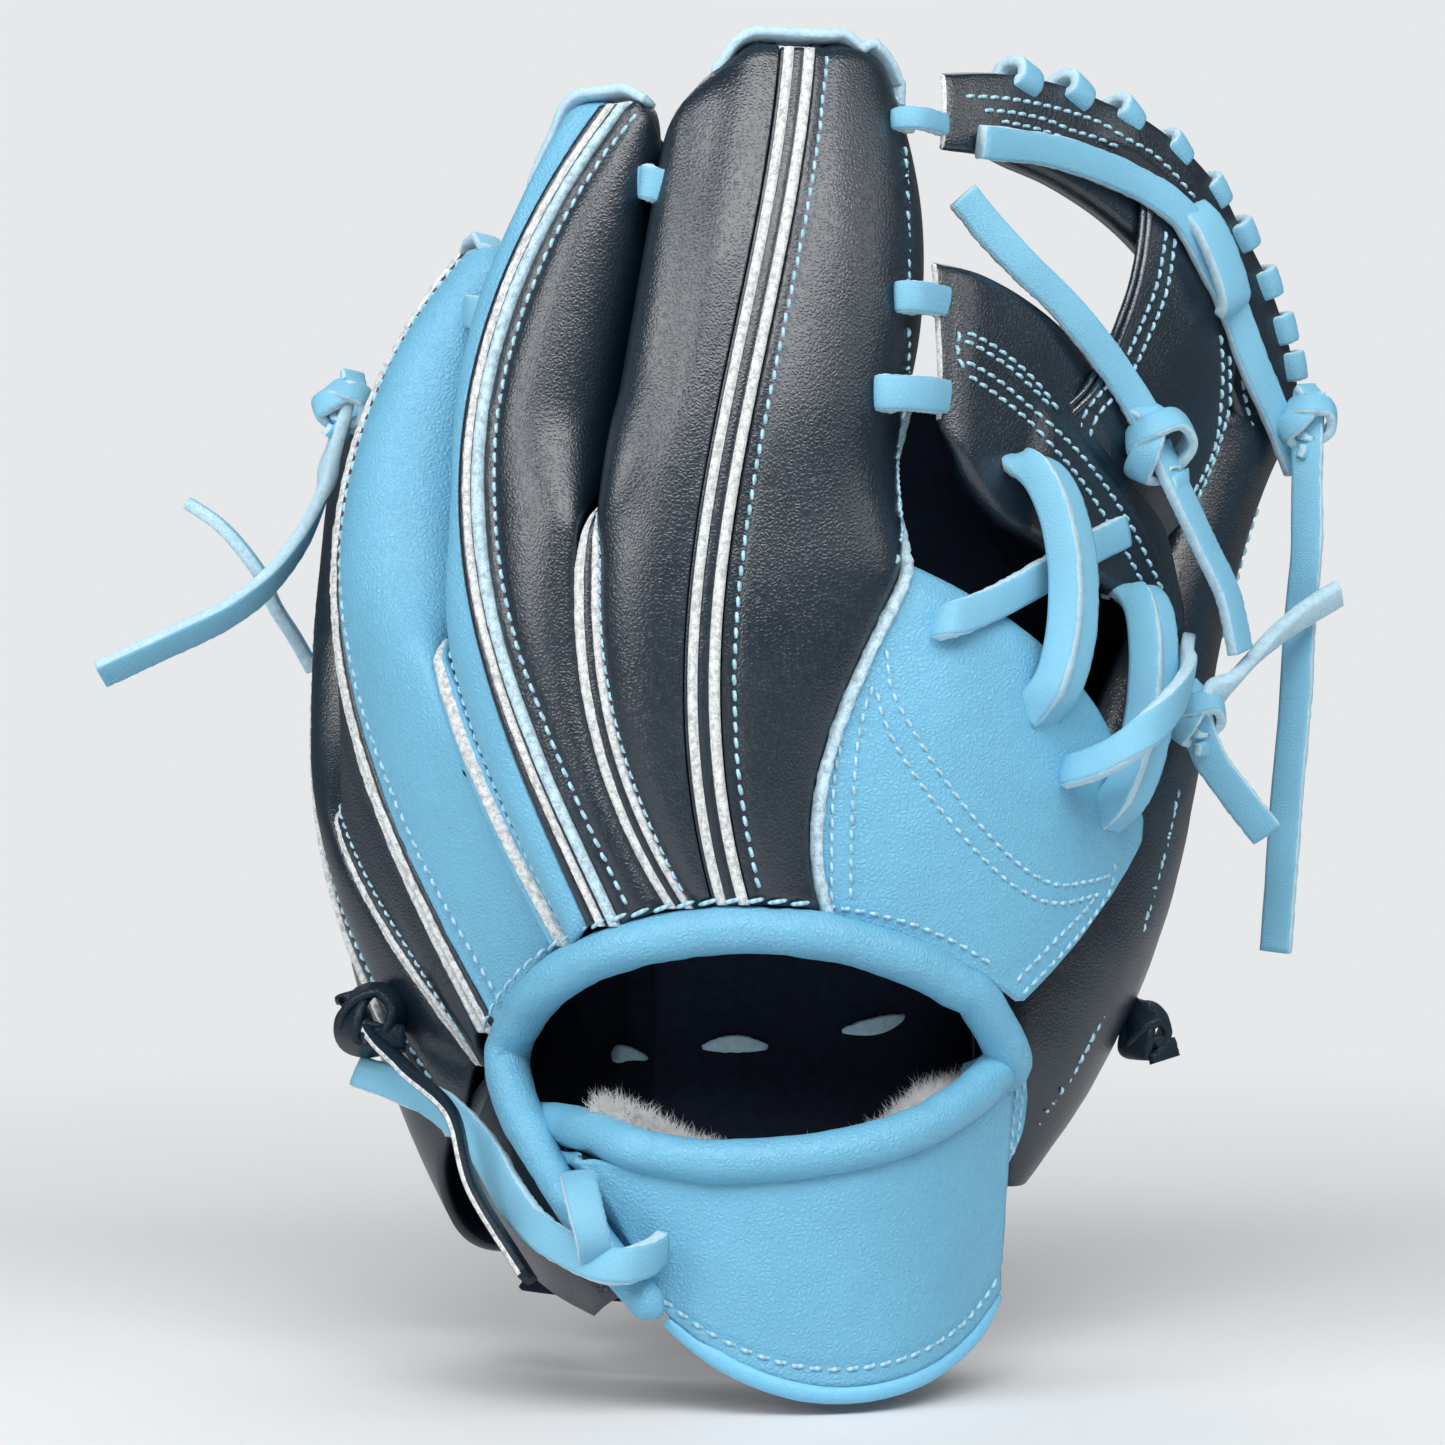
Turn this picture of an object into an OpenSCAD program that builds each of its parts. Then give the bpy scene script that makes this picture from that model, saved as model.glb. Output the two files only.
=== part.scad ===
// Fielder's glove for the left hand, laced, with a two-bar web.
// The origin is the centre of the hand opening. +Z runs up the fingers, -Y out of the back of
// the hand and +X to the thumb. The hand wraps a pocket axis, so most lines are given by an
// angle round that axis (0 is the back, plus is the little finger's side), a radius and a height.

/* [Hand] */
// Radius of the back of the glove round the pocket axis
pocket_r = 86; // [80:1:94]
// Height of the index fingertip over the centre of the hand opening
index_h = 207; // [194:1:220]
// Height of the middle fingertip
middle_h = 196; // [183:1:209]
// Height of the ring fingertip
ring_h = 170; // [158:1:184]
// Height of the little fingertip
pinky_h = 137; // [126:1:150]
// Height of the thumb tip
thumb_h = 137; // [126:1:148]
// Depth of a finger stall from back to palm at its root
stall_depth = 44; // [38:1:50]
// Depth of a finger stall at its tip
tip_depth = 9; // [8:0.5:12]
// Depth of the groove at a crotch welt
groove = 3; // [2.6:0.1:5]

/* [Opening] */
// Height of the upper rim of the hand opening
rim_top = 33; // [28:1:38]
// Fall of the rim at 45 degrees from its middle
rim_drop = 25; // [20:1:30]
// Diameter of the binding roll round the opening
roll_d = 9.5; // [8:0.5:12]

/* [Leather] */
// Thickness of the shell leather
leather_t = 2.4; // [1.8:0.1:2.6]
// Thickness of the lining leather
lining_t = 1.4; // [1:0.1:2]
// Width of a ridge welt with its two raw edges
ridge_welt_w = 7; // [5:0.5:9]
// Width of a crotch welt
crotch_welt_w = 6; // [4:0.5:7]
// Height that a welt stands over the panels
welt_rise = 1; // [0.4:0.1:2]
// Thickness of the palm felt
felt_t = 5; // [3:0.5:7]
// Gap left between pieces that are sewn together
seam_gap = 0.4; // [0.3:0.05:0.6]

/* [Strap] */
// Height of the wrist strap at its middle
strap_h = 39; // [34:1:44]
// Thickness of the fleece behind the strap
fleece_t = 9; // [6:0.5:12]
// Diameter of the piping on the strap's lower edge
piping_d = 4; // [3:0.5:5]

/* [Lacing] */
// Width of the lace
lace_w = 7; // [5:0.5:8]
// Thickness of the lace
lace_t = 3; // [2:0.25:3.5]

/* [Web] */
// Thickness of a web bar
web_t = 5; // [4:0.5:6]

/* [Hidden] */

// Pocket axis
pocket_x = -5;
pocket_y = 38;
// Angle at the middle of the opening's rim
rim_mid = -2;

// Four control points of each ridge line, from the rim to the tip: angle and radial offset
RIDGES = [
    [[63, -20], [90, 6], [118, 20], [106, 4]],
    [[46, -16], [70, -2], [90, 18], [76, -26]],
    [[17, 0], [34.5, 3], [60, -6], [24.5, -28]],
    [[0, 0], [14, 3], [-10, -6], [-15, -28]]
];
TIPS = [pinky_h, ring_h, middle_h, index_h];
// Control points of the lines between the fingers, and of the two outer edges
VALLEYS = [
    [[78, -10], [116, 12], [146, 18], [130, -6]],
    [[52, -18], [76, 4], [110, 20], [92, -12]],
    [[25, -5], [44, 0], [64, -1], [57, -26]],
    [[7, -1], [30, 2], [19, -6], [13, -28]],
    [[-12, -1], [0, 2], [-66, -6], [-45, -28]]
];
// How far each of these lines ends below the lower fingertip beside it
VALLEY_DROP = [12, 10, 8, 10, 10];
// Width of the welt sewn into each line; the outer edges have none
WELTS = [0, crotch_welt_w, crotch_welt_w, crotch_welt_w, 0];
// Share of the line at which the fingers part
CROTCHES = [-1, 0.42, 0.45, 0.52, 0.42];
// Share of the stall's depth at which its side seams lie
seam_share = 0.62;
// Roundness of a finger back: 2 is an ellipse
fullness = 2.5;

// Counts of the grids
along = 12;
across = 6;

function mix(a, b, u) = a + (b - a) * u;
function smooth(a, b, x) =
    let (u = min(1, max(0, (x - a) / (b - a))))
    u * u * (3 - 2 * u);
function bezier(p, t) =
    pow(1 - t, 3) * p[0] + 3 * t * pow(1 - t, 2) * p[1] + 3 * t * t * (1 - t) * p[2] + pow(t, 3) * p[3];
function unit(v) = v / max(1e-9, norm(v));
// Angle that a width takes at a radius
function arc(width, radius) = width / radius * 180 / PI;
// A place from its angle, radius and height
function place(q) = [pocket_x - q[1] * sin(q[0]), pocket_y - q[1] * cos(q[0]), q[2]];
// The free-hand points below are drawn for this pocket radius and move out with the pocket
pattern_r = 86;
function radial(p) = unit([p[0] - pocket_x, p[1] - pocket_y, 0]);
function grade(p) = p + radial(p) * (pocket_r - pattern_r);
function rim_z(angle) = rim_top - rim_drop * pow((angle - rim_mid) / 45, 2);

// Depth of the stalls from back to palm
function stall(t) = mix(stall_depth, tip_depth, pow(t, 3));
function valley_tip(k) =
    min(TIPS[max(0, k - 1)], TIPS[min(3, k)]) - VALLEY_DROP[k];
// 0 where two fingers are sewn together, 1 where they are apart
function apart(k, t) = smooth(CROTCHES[k] - 0.04, CROTCHES[k] + 0.12, t);
function ridge(f, t) =
    let (q = bezier(RIDGES[f], t), z0 = rim_z(RIDGES[f][0][0]))
    [q[0], pocket_r + q[1], mix(z0, TIPS[f], t)];
function valley(k, t) =
    let (q = bezier(VALLEYS[k], t), z0 = rim_z(VALLEYS[k][0][0]))
    [q[0], pocket_r + q[1] - mix(groove, seam_share * stall(t), apart(k, t)), mix(z0, valley_tip(k), t)];

// Angles at which a panel stops beside its ridge welt and at its seam
function panel_way(side) = side == 0 ? 1 : -1;
function panel_ridge_angle(f, side, t) =
    let (r = ridge(f, t))
    r[0] + panel_way(side) * arc(ridge_welt_w / 2 + seam_gap, r[1]);
function panel_seam_angle(f, side, t, inset) =
    let (v = valley(f + side, t))
    v[0] - panel_way(side) * arc(WELTS[f + side] / 2 + seam_gap + inset, v[1]);
// A point of a finger's back panel: side 0 is the outer panel and 1 the inner one, a runs from
// 0 at the ridge to 90 at the seam, t from the rim to the tip, and inset lies under the surface
function back_point(f, side, a, t, inset) =
    let (
        k = f + side,
        r = ridge(f, t),
        v = valley(k, t),
        free = apart(k, t),
        s = pow(sin(a), 2 / fullness),
        c = pow(cos(a), 2 / fullness),
        foot = rim_z(mix(RIDGES[f][0][0], VALLEYS[k][0][0], s)),
        head = mix(valley_tip(k), TIPS[f], cos(a))
    )
    [
        mix(panel_ridge_angle(f, side, t), panel_seam_angle(f, side, t, inset * free), s),
        mix(v[1] - inset * (1 - free), r[1] - inset, c),
        mix(foot, head, t)
    ];

// Palm side: radius of the palm under a ridge and at a seam line
function palm_under(f, t) = ridge(f, t)[1] - stall(t);
function palm_at_seam(k, t) =
    mix((palm_under(max(0, k - 1), t) + palm_under(min(3, k), t)) / 2,
        valley(k, t)[1] - leather_t - 3 * seam_gap, apart(k, t));
// A point of the palm, u runs from 0 at the little finger's edge to 4 at the index finger's
function palm_point(u, t, lift) =
    let (
        f = min(3, floor(u)),
        w = (u - f) * 2 - 1,
        r = ridge(f, t),
        side = w < 0 ? 0 : 1,
        k = f + side,
        v = valley(k, t),
        m = abs(w),
        edge = (panel_seam_angle(f, side, t, leather_t) - r[0]) / (v[0] - r[0]),
        down = min(1, pow(m / edge, 2.2))
    )
    [mix(r[0], v[0], m), mix(palm_under(f, t), palm_at_seam(k, t), down) + lift, mix(r[2], v[2], m)];

// Closed solid from points and faces, turned the right way out
module solid(points, faces) {
    volume = sum([for (q = faces) for (i = [1 : len(q) - 2])
        cross(points[q[0]], points[q[i]]) * points[q[i + 1]]]);
    polyhedron(points, volume < 0 ? faces : [for (q = faces) [for (i = [len(q) - 1 : -1 : 0]) q[i]]]);
}
function sum(v) = v * [for (x = v) 1];

// A sheet between two grids of points; keep(i, j) picks the cells that are there
module sheet(top, under, keep = function (i, j) true) {
    rows = len(top);
    cols = len(top[0]);
    count = rows * cols;
    function at(i, j) = i * cols + j;
    function there(i, j) = i >= 0 && j >= 0 && i < rows - 1 && j < cols - 1 && keep(i, j);
    points = [for (row = top) each row, for (row = under) each row];
    faces = [
        for (i = [0 : rows - 2]) for (j = [0 : cols - 2]) if (there(i, j))
            let (a = at(i, j), b = at(i + 1, j), c = at(i + 1, j + 1), d = at(i, j + 1))
            each [
                [a, b, c], [a, c, d],
                [count + a, count + c, count + b], [count + a, count + d, count + c],
                if (!there(i, j - 1)) each [[a, count + a, count + b], [a, count + b, b]],
                if (!there(i, j + 1)) each [[c, count + c, count + d], [c, count + d, d]],
                if (!there(i - 1, j)) each [[d, count + d, count + a], [d, count + a, a]],
                if (!there(i + 1, j)) each [[b, count + b, count + c], [b, count + c, c]]
            ]
    ];
    solid(points, faces);
}

// A tube through rings of points
module rings(loops) {
    n = len(loops[0]);
    count = len(loops);
    faces = [
        for (i = [0 : count - 2]) for (j = [0 : n - 1])
            let (a = i * n + j, b = i * n + (j + 1) % n, c = a + n, d = b + n)
            each [[a, b, d], [a, d, c]],
        [for (j = [n - 1 : -1 : 0]) j],
        [for (j = [0 : n - 1]) (count - 1) * n + j]
    ];
    solid([for (loop = loops) each loop], faces);
}
function heading(path, i) = unit(path[min(len(path) - 1, i + 1)] - path[max(0, i - 1)]);
// The part of a direction that is square to a path at one of its points
function across_path(path, i, wide) =
    let (way = heading(path, i))
    unit(wide - way * (wide * way));
// A band of rounded section along a path; wide gives the direction of its width at each point
module band(path, wide, width, thick, sides = 8) {
    rings([for (i = [0 : len(path) - 1])
        let (b = across_path(path, i, wide[i]), n = cross(heading(path, i), b))
        [for (j = [0 : sides - 1])
            let (a = (j + 0.5) * 360 / sides, c = cos(a), s = sin(a),
                full = min(1, 0.85 / max(abs(c), abs(s))))
            path[i] + (b * (width * c) + n * (thick * s)) / 2 * full]]);
}
// A round cord along a path
module cord(path, d, sides = 8) {
    rings([for (i = [0 : len(path) - 1])
        let (along_it = heading(path, i), b = unit(cross(along_it, [0.3, 1, 0.2])), n = cross(along_it, b))
        [for (j = [0 : sides - 1]) path[i] + d / 2 * (b * cos(j * 360 / sides) + n * sin(j * 360 / sides))]]);
}

module back_panel(f, side) {
    function grid(inset) = [for (i = [0 : along]) [for (j = [0 : across])
        place(back_point(f, side, 90 * j / across, i / along, inset))]];
    sheet(grid(0), grid(leather_t));
}
module ridge_welt(f) {
    rings([for (i = [0 : along])
        let (r = ridge(f, i / along), half = arc(ridge_welt_w / 2, r[1]),
            low = r[1] - leather_t, high = r[1] + welt_rise)
        [for (p = [[-1, low], [1, low], [1, high - 0.5], [0.7, high], [-0.7, high], [-1, high - 0.5]])
            place([r[0] + p[0] * half, p[1], r[2]])]]);
}
module crotch_welt(k) {
    rings([for (i = [0 : along])
        let (r = valley(k, i / along * CROTCHES[k]), half = arc(crotch_welt_w / 2, r[1]),
            low = r[1] - leather_t, high = r[1] + welt_rise)
        [for (p = [[-1, low], [1, low], [1, high - 0.5], [0.7, high], [-0.7, high], [-1, high - 0.5]])
            place([r[0] + p[0] * half, p[1], r[2]])]]);
}

// Palm: rows below the rim run down to the heel
heel_z = -50;
heel_r = 46;
heel_bulge = 6;
heel_rows = 4;
palm_cols = 5;
thumb_cols = 5;
// Angle and radius of the crease between palm and thumb at a height
function crease(z) = [mix(-68, -52, (z + 30) / 125), pocket_r - mix(32, 28, (z + 30) / 125), z];
function palm_grid_point(u, t, lift) =
    u <= 4 ? palm_point(u, t, lift)
    : let (e = palm_point(4, t, lift), c = crease(e[2]), w = u - 4)
      [mix(e[0], c[0], w), mix(e[1], c[1] + lift, w), e[2]];
function heel_point(u, v, lift) =
    let (q = palm_grid_point(u, 0, lift), low = min(q[2] - 8, heel_z))
    [q[0], mix(q[1], heel_r + lift, v) - heel_bulge * 4 * v * (1 - v), mix(q[2], low, v)];
function palm_us(cols) = [
    for (f = [0 : 3]) for (j = [0 : cols - 1]) f + j / cols,
    for (j = [0 : thumb_cols]) 4 + j / thumb_cols
];
function palm_rows(top_t, count) = [
    for (i = [heel_rows : -1 : 1]) -i / heel_rows,
    for (i = [0 : count]) i / count * top_t
];
function palm_grid(lift, rows, cols) = [for (t = rows) [for (u = palm_us(cols))
    place(t < 0 ? heel_point(u, -t, lift) : palm_grid_point(u, t, lift))]];

// The felt and the lining leave out the little finger's edge and the crease
inner_cols = 3;
inner_part = function (i, j) j >= inner_cols && j < 4 * inner_cols + 3;
felt_gap = 4 * seam_gap;
inner_top = 0.34;
module palm_shell() {
    rows = palm_rows(1, along);
    color("#1c1c20") sheet(palm_grid(0, rows, palm_cols), palm_grid(leather_t, rows, palm_cols),
        function (i, j) j < 4 * palm_cols || rows[i + 1] <= CROTCHES[4] + 0.01);
}
module palm_felt() {
    rows = palm_rows(inner_top, 6);
    low = leather_t + felt_gap;
    color("#d8d2c4")
        sheet(palm_grid(low, rows, inner_cols), palm_grid(low + felt_t, rows, inner_cols), inner_part);
}
module palm_lining() {
    rows = palm_rows(inner_top, 6);
    low = leather_t + felt_t + felt_gap + 2 * seam_gap;
    color("#16202e")
        sheet(palm_grid(low, rows, inner_cols), palm_grid(low + lining_t, rows, inner_cols), inner_part);
}
module back_lining() {
    steps = 6;
    function line(t, inset) = [
        for (f = [1 : 3]) for (side = [0 : 1]) for (j = [0 : 2])
            let (a = side == 0 ? 90 - 30 * j : 30 * j + 30)
            place(back_point(f, side, a, t, inset))];
    low = leather_t + felt_gap;
    color("#16202e") sheet([for (i = [0 : steps]) line(mix(0.04, 0.36, i / steps), low)],
        [for (i = [0 : steps]) line(mix(0.04, 0.36, i / steps), low + lining_t)]);
}
module pinky_outer_panel() { color("#1c1c20") back_panel(0, 0); }
module pinky_inner_panel() { color("#1c1c20") back_panel(0, 1); }
module ring_outer_panel() { color("#1c1c20") back_panel(1, 0); }
module ring_inner_panel() { color("#79c0e4") back_panel(1, 1); }
module middle_outer_panel() { color("#79c0e4") back_panel(2, 0); }
module middle_inner_panel() { color("#1c1c20") back_panel(2, 1); }
module index_outer_panel() { color("#1c1c20") back_panel(3, 0); }
module index_inner_panel() { color("#1c1c20") back_panel(3, 1); }
module pinky_ridge_welt() { color("#e8eaec") ridge_welt(0); }
module ring_ridge_welt() { color("#e8eaec") ridge_welt(1); }
module middle_ridge_welt() { color("#e8eaec") ridge_welt(2); }
module index_ridge_welt() { color("#e8eaec") ridge_welt(3); }
module pinky_ring_welt() { color("#e8eaec") crotch_welt(1); }
module ring_middle_welt() { color("#e8eaec") crotch_welt(2); }
module middle_index_welt() { color("#e8eaec") crotch_welt(3); }

// Back of the thumb: a panel from the index finger's edge to a corner over the thumb
thumb_foot = -28;
knee_angle = -41;
thumb_corner = [-70, pocket_r + 7.5, thumb_z(0.4485)];
module thumb_back_panel() {
    rows = 10;
    cols = 12;
    crotch_t = CROTCHES[4];
    function edge(v) = let (q = valley(4, v * crotch_t)) [q[0] - arc(2 * seam_gap, q[1]), q[1] + 1, q[2]];
    low = edge(0);
    high = edge(1);
    knee = [knee_angle, pocket_r + 1, rim_z(knee_angle)];
    function bottom(u) = u < 0.5
        ? let (a = mix(low[0], knee[0], u * 2)) [a, mix(low[1], knee[1], u * 2), rim_z(a)]
        : mix(knee, thumb_corner, u * 2 - 1);
    function top(u) = mix(high, thumb_corner, u) + [0, 2, 8] * sin(180 * u);
    function point(u, v, inset) =
        mix(bottom(u), top(u), v) + (edge(v) - mix(low, high, v)) * (1 - u)
            + [0, 2 * sin(180 * u) - inset, 0];
    function grid(inset) = [for (i = [0 : rows]) [for (j = [0 : cols])
        place(point(j / cols * 0.97, i / rows, inset))]];
    color("#79c0e4") sheet(grid(0), grid(leather_t));
}

// Binding roll along the rim, from the thumb's side round and down over the strap's left end
ROLL_FALL = [[-53.5, -14, -7], [-40, -50, -24], [-19, -60.3, -46]];
function rim_radius(angle) = pocket_r - 1 - 16 * smooth(12, 48, angle);
// Slope of the rim along its own length
function rim_slope(angle) = 2 * rim_drop * (angle - rim_mid) / pow(45, 2) * arc(1, rim_radius(angle));
// The roll hangs two gaps lower where it turns down at the little finger's side
function roll_drop(angle) =
    (roll_d / 2 + (4 + 2 * smooth(28, 40, angle)) * seam_gap) * norm([1, rim_slope(angle)]);
rim_line = [for (a = [-39.5 : 6.12 : 41]) place([a, rim_radius(a), rim_z(a) - roll_drop(a)])];
function roll_fall(t) = bezier([rim_line[len(rim_line) - 1], for (p = ROLL_FALL) grade(p)], t);
roll_path = [each rim_line, for (i = [1 : 7]) roll_fall(i / 7)];
module opening_binding() { color("#79c0e4") cord(roll_path, roll_d); }

// Wrist strap: a curved band below the opening
strap_r = pocket_r + 7;
strap_low = -61;
function strap_at(u, v, lift) =
    let (
        a = mix(mix(8, 19, v), mix(-42, -46, v), u),
        low = strap_low + (a > -14 ? 19 : 11.5) * pow((a + 14) / 25, 2),
        high = strap_low + strap_h + 18 * pow((a - 2) / 48, 2) + 7 * smooth(2, 19, a)
    )
    [a, strap_r - 14 * smooth(-14, -54, a) - lift, mix(low, high, v)];
strap_cols = 12;
strap_rows = 5;
function strap_grid(lift, right = 1) = [for (i = [0 : strap_rows]) [for (j = [0 : strap_cols])
    place(strap_at(j / strap_cols * right, i / strap_rows, lift))]];
module wrist_strap() { color("#79c0e4") sheet(strap_grid(0), strap_grid(leather_t)); }
function strap_edge(v, rise) = [for (j = [0 : strap_cols])
    place(strap_at(j / strap_cols, v, leather_t / 2) + [0, 0, rise])];
module strap_binding() { color("#79c0e4") cord(strap_edge(1, roll_d / 2 + 2 * seam_gap), roll_d); }
module strap_piping() { color("#9fdcf5") cord(strap_edge(0, -piping_d / 2 - 2 * seam_gap), piping_d); }
module strap_fleece() {
    near = leather_t + seam_gap;
    color("#f2f2ef") sheet(strap_grid(near, tab_left), strap_grid(near + fleece_t, tab_left));
}

// Thumb: three lines from the heel to the tip, each through four control points
THUMB_BACK = [[50, -4], [60, -30], [88, 30], [106, 40]];
THUMB_SIDE = [[57, 10], [108, 26], [92, 52], [123, 55]];
THUMB_FRONT = [[46, 38], [78, 52], [84, 70], [110, 62]];
function thumb_z(t) = mix(thumb_foot, thumb_h, t);
function thumb_line(p, t) = let (q = bezier(p, t)) grade([q[0], q[1], thumb_z(t)]);
function thumb_outer(a, t, inset) =
    let (
        b = thumb_line(THUMB_BACK, t), s = thumb_line(THUMB_SIDE, t), f = thumb_line(THUMB_FRONT, t),
        c = (b + f) / 2, to = a < 0 ? b : f, m = abs(a)
    )
    c + (s - c) * (1 - inset / norm(s - c)) * cos(m) + (to - c) * (1 - inset / norm(to - c)) * sin(m);
module thumb_outer_panel() {
    function grid(inset) = [for (i = [0 : along]) [for (j = [-5 : 5]) thumb_outer(j * 18, i / along, inset)]];
    color("#1c1c20") sheet(grid(0), grid(leather_t));
}
thumb_bulge = 18;
function thumb_inner(u, t, inset) =
    let (
        f = thumb_line(THUMB_FRONT, t) + [-3, 1, 0],
        z = thumb_z(t),
        k = place(crease(z)) + [3, 3, 0],
        out = unit([k[1] - f[1], f[0] - k[0], 0]),
        m = (f + k) / 2 + out * thumb_bulge
    )
    pow(1 - u, 2) * f + 2 * u * (1 - u) * m + u * u * k - out * inset;
module thumb_front_panel() {
    function grid(inset) = [for (i = [0 : along]) [for (j = [0 : 6]) thumb_inner(j / 6, i / along, inset)]];
    color("#1c1c20") sheet(grid(0), grid(leather_t));
}

// Lining of the thumb stall
module thumb_lining() {
    low = leather_t + 2 * seam_gap;
    function grid(inset) = [for (i = [0 : 7]) [for (j = [-4 : 4])
        thumb_outer(j * 18, mix(0.1, 0.9, i / 7), inset)]];
    color("#16202e") sheet(grid(low), grid(low + lining_t));
}
// Strip that folds between the palm and the thumb
module palm_crease() {
    function grid(lift) = [for (i = [0 : 8]) [for (j = [-1 : 1])
        let (q = crease(mix(thumb_foot, 88, i / 8))) place(q + [arc(-3 * j, q[1]), lift, 0])]];
    low = leather_t + 2 * seam_gap;
    color("#1c1c20") sheet(grid(low), grid(low + lining_t));
}
// Heel leather on the little finger's side, hung under the falling end of the binding roll
HEEL_LOWER = [[-61, 12, -28], [-55, -9, -38], [-45, -35, -45], [-32, -47, -48]];
function under_roll(t) =
    let (way = unit(roll_fall(t + 0.05) - roll_fall(t - 0.05)))
    roll_fall(t) - unit([0, 0, 1] - way * way[2]) * (roll_d / 2 + 2 * seam_gap);
module pinky_heel_panel() {
    function grid(lift) = [for (i = [0 : 10]) [for (j = [0 : 4])
        let (a = under_roll(i / 10 * 0.9), b = grade(bezier(HEEL_LOWER, i / 10)), p = mix(a, b, j / 4),
            out = unit([p[0] + 10, p[1] - 20, 0]))
        p + out * (3 * sin(180 * j / 4) - lift)]];
    color("#1c1c20") sheet(grid(0), grid(leather_t));
}
// Tab that is sewn behind the right end of the strap, beside the fleece
tab_left = 0.9;
module strap_tab() {
    function grid(lift) = [for (i = [0 : 5]) [for (j = [0 : 4])
        place(strap_at(mix(tab_left + 0.02, 1.06, j / 4), mix(0.5, 0.97, i / 5), lift))]];
    near = leather_t + seam_gap;
    color("#79c0e4") sheet(grid(near), grid(near + leather_t));
}

// Web: bars on a surface between the index finger's edge and the thumb
function web_y(x, z) =
    let (
        near = -32 + 0.25 * (z - 123),
        far_x = 92 + 0.444 * (z - 95),
        far_y = 28 + 0.444 * (z - 95)
    )
    mix(near, far_y, (x - 32) / (far_x - 32));
web_normal = unit([-0.65, 0.75, 0]);
// Height of the line over the index fingertip and the thumb tip, from which the web is set out
web_rise = 4;
web_left = 40;
web_span = 80;
function web_line(x) = mix(index_h + web_rise, thumb_h, (x - web_left) / web_span);
// A point of the web from its x and its height over that line, lifted towards the pocket
function web_point(q, lift) =
    let (z = web_line(q[0]) + q[1])
    grade([q[0], web_y(q[0], z), z] + web_normal * lift);
module web_bar(upper, lower, lift) {
    steps = 12;
    function grid(lift) = [for (i = [0 : steps]) [for (j = [0 : 4])
        web_point(mix(bezier(upper, i / steps), bezier(lower, i / steps), j / 4), lift)]];
    sheet(grid(lift - web_t / 2), grid(lift + web_t / 2));
}
TOP_UPPER = [[38, -9], [84, 42], [114, 43], [122, 4.8]];
TOP_LOWER = [[38, -24], [74, 8], [94, 7], [106, -12.2]];
LOW_UPPER = [[39.2, -49], [64, -31], [78, -36], [88, -59]];
LOW_LOWER = [[38.5, -84], [48, -102], [68, -79], [84, -82]];
POST_LEFT = [[82, 16], [84, -2], [78, -26], [64, -61]];
POST_RIGHT = [[104, 20], [106, 0], [104, -22], [88, -65]];
module web_top_bar() { color("#1c1c20") web_bar(TOP_UPPER, TOP_LOWER, 0); }
module web_post() { color("#1c1c20") web_bar(POST_LEFT, POST_RIGHT, web_t + seam_gap); }
module web_lower_bar() { color("#1c1c20") web_bar(LOW_UPPER, LOW_LOWER, 0); }

// Laces
lace_lift = lace_t / 2 + seam_gap;
lace_color = "#8fc9ea";
function curve(p, n) = [for (i = [0 : n]) bezier(p, i / n)];
function repeat(v, n) = [for (i = [1 : n]) v];
module lace(path, wide, sides = 8) { band(path, repeat(wide, len(path)), lace_w, lace_t, sides); }
// A knot is a turn of lace round its own tail
module turn(at, axis) {
    inner = norm([lace_w, lace_t]) / 2 + seam_gap;
    translate(at)
        rotate([0, acos(unit(axis)[2]), atan2(axis[1], axis[0])])
            rotate_extrude($fn = 32)
                translate([inner + lace_t / 2, 0])
                    square([lace_t, lace_w], center = true);
}
function tip_edge(f, w) =
    let (a = abs(w), side = w < 0 ? 0 : 1, q = back_point(f, side, a, 1, 0))
    place(q - [0, tip_depth / 2 * cos(a), 0]);
// Where each fingertip's lace starts and ends, as angles to both sides of the ridge
TIP_ENDS = [[-56, 56], [-56, 28], [-56, 28], [-38, 56]];
module fingertip_laces() {
    color(lace_color) for (f = [0 : 3]) {
        edge = [for (i = [0 : 8]) tip_edge(f, mix(TIP_ENDS[f][0], TIP_ENDS[f][1], i / 8))];
        rise = lace_lift + seam_gap / 2;
        path = [for (i = [0 : len(edge) - 1])
            let (n = cross(heading(edge, i), radial(edge[i])))
            edge[i] + n * (n[2] > 0 ? rise : -rise)];
        band(path, [for (p = path) radial(p)], lace_w, lace_t);
    }
}
// Places along the fingers of the ties between neighbours, and how many gaps each lies over the leather
TIES = [[0.86, 0.76, 3], [0.93, 0.83, 1], [0.93, 0.875, 1]];
module finger_tie_laces() {
    color(lace_color) for (f = [0 : 2]) {
        a = back_point(f, 1, 52, TIES[f][0], 0);
        b = back_point(f + 1, 0, 52, TIES[f][1], 0);
        rise = lace_lift + TIES[f][2] * seam_gap;
        lace([for (i = [0 : 6]) place(mix(a, b, i / 6) + [0, rise + 2 * sin(30 * i), 0])], [0, 0, 1]);
    }
}
// Heights of the ties between the index finger and the web, below the fingertip
WEB_TIES = [-13, -51, -70];
// Where a tie leaves the finger's panel and where it meets the bar
tie_angle = 34;
tie_x = 42;
module web_index_laces() {
    color(lace_color) for (drop = WEB_TIES) {
        z = index_h + drop;
        t = (z - rim_z(0)) / (index_h - rim_z(0));
        a = place(back_point(3, 1, tie_angle, t, -lace_lift));
        b = web_point([tie_x, z - web_line(tie_x)], -web_t / 2 - lace_lift);
        m = (a + b) / 2 + [2, -5, 0];
        lace(curve([[a[0], a[1], z], m, m, [b[0], b[1], z]], 6), [0, 0, 1]);
    }
}
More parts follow.
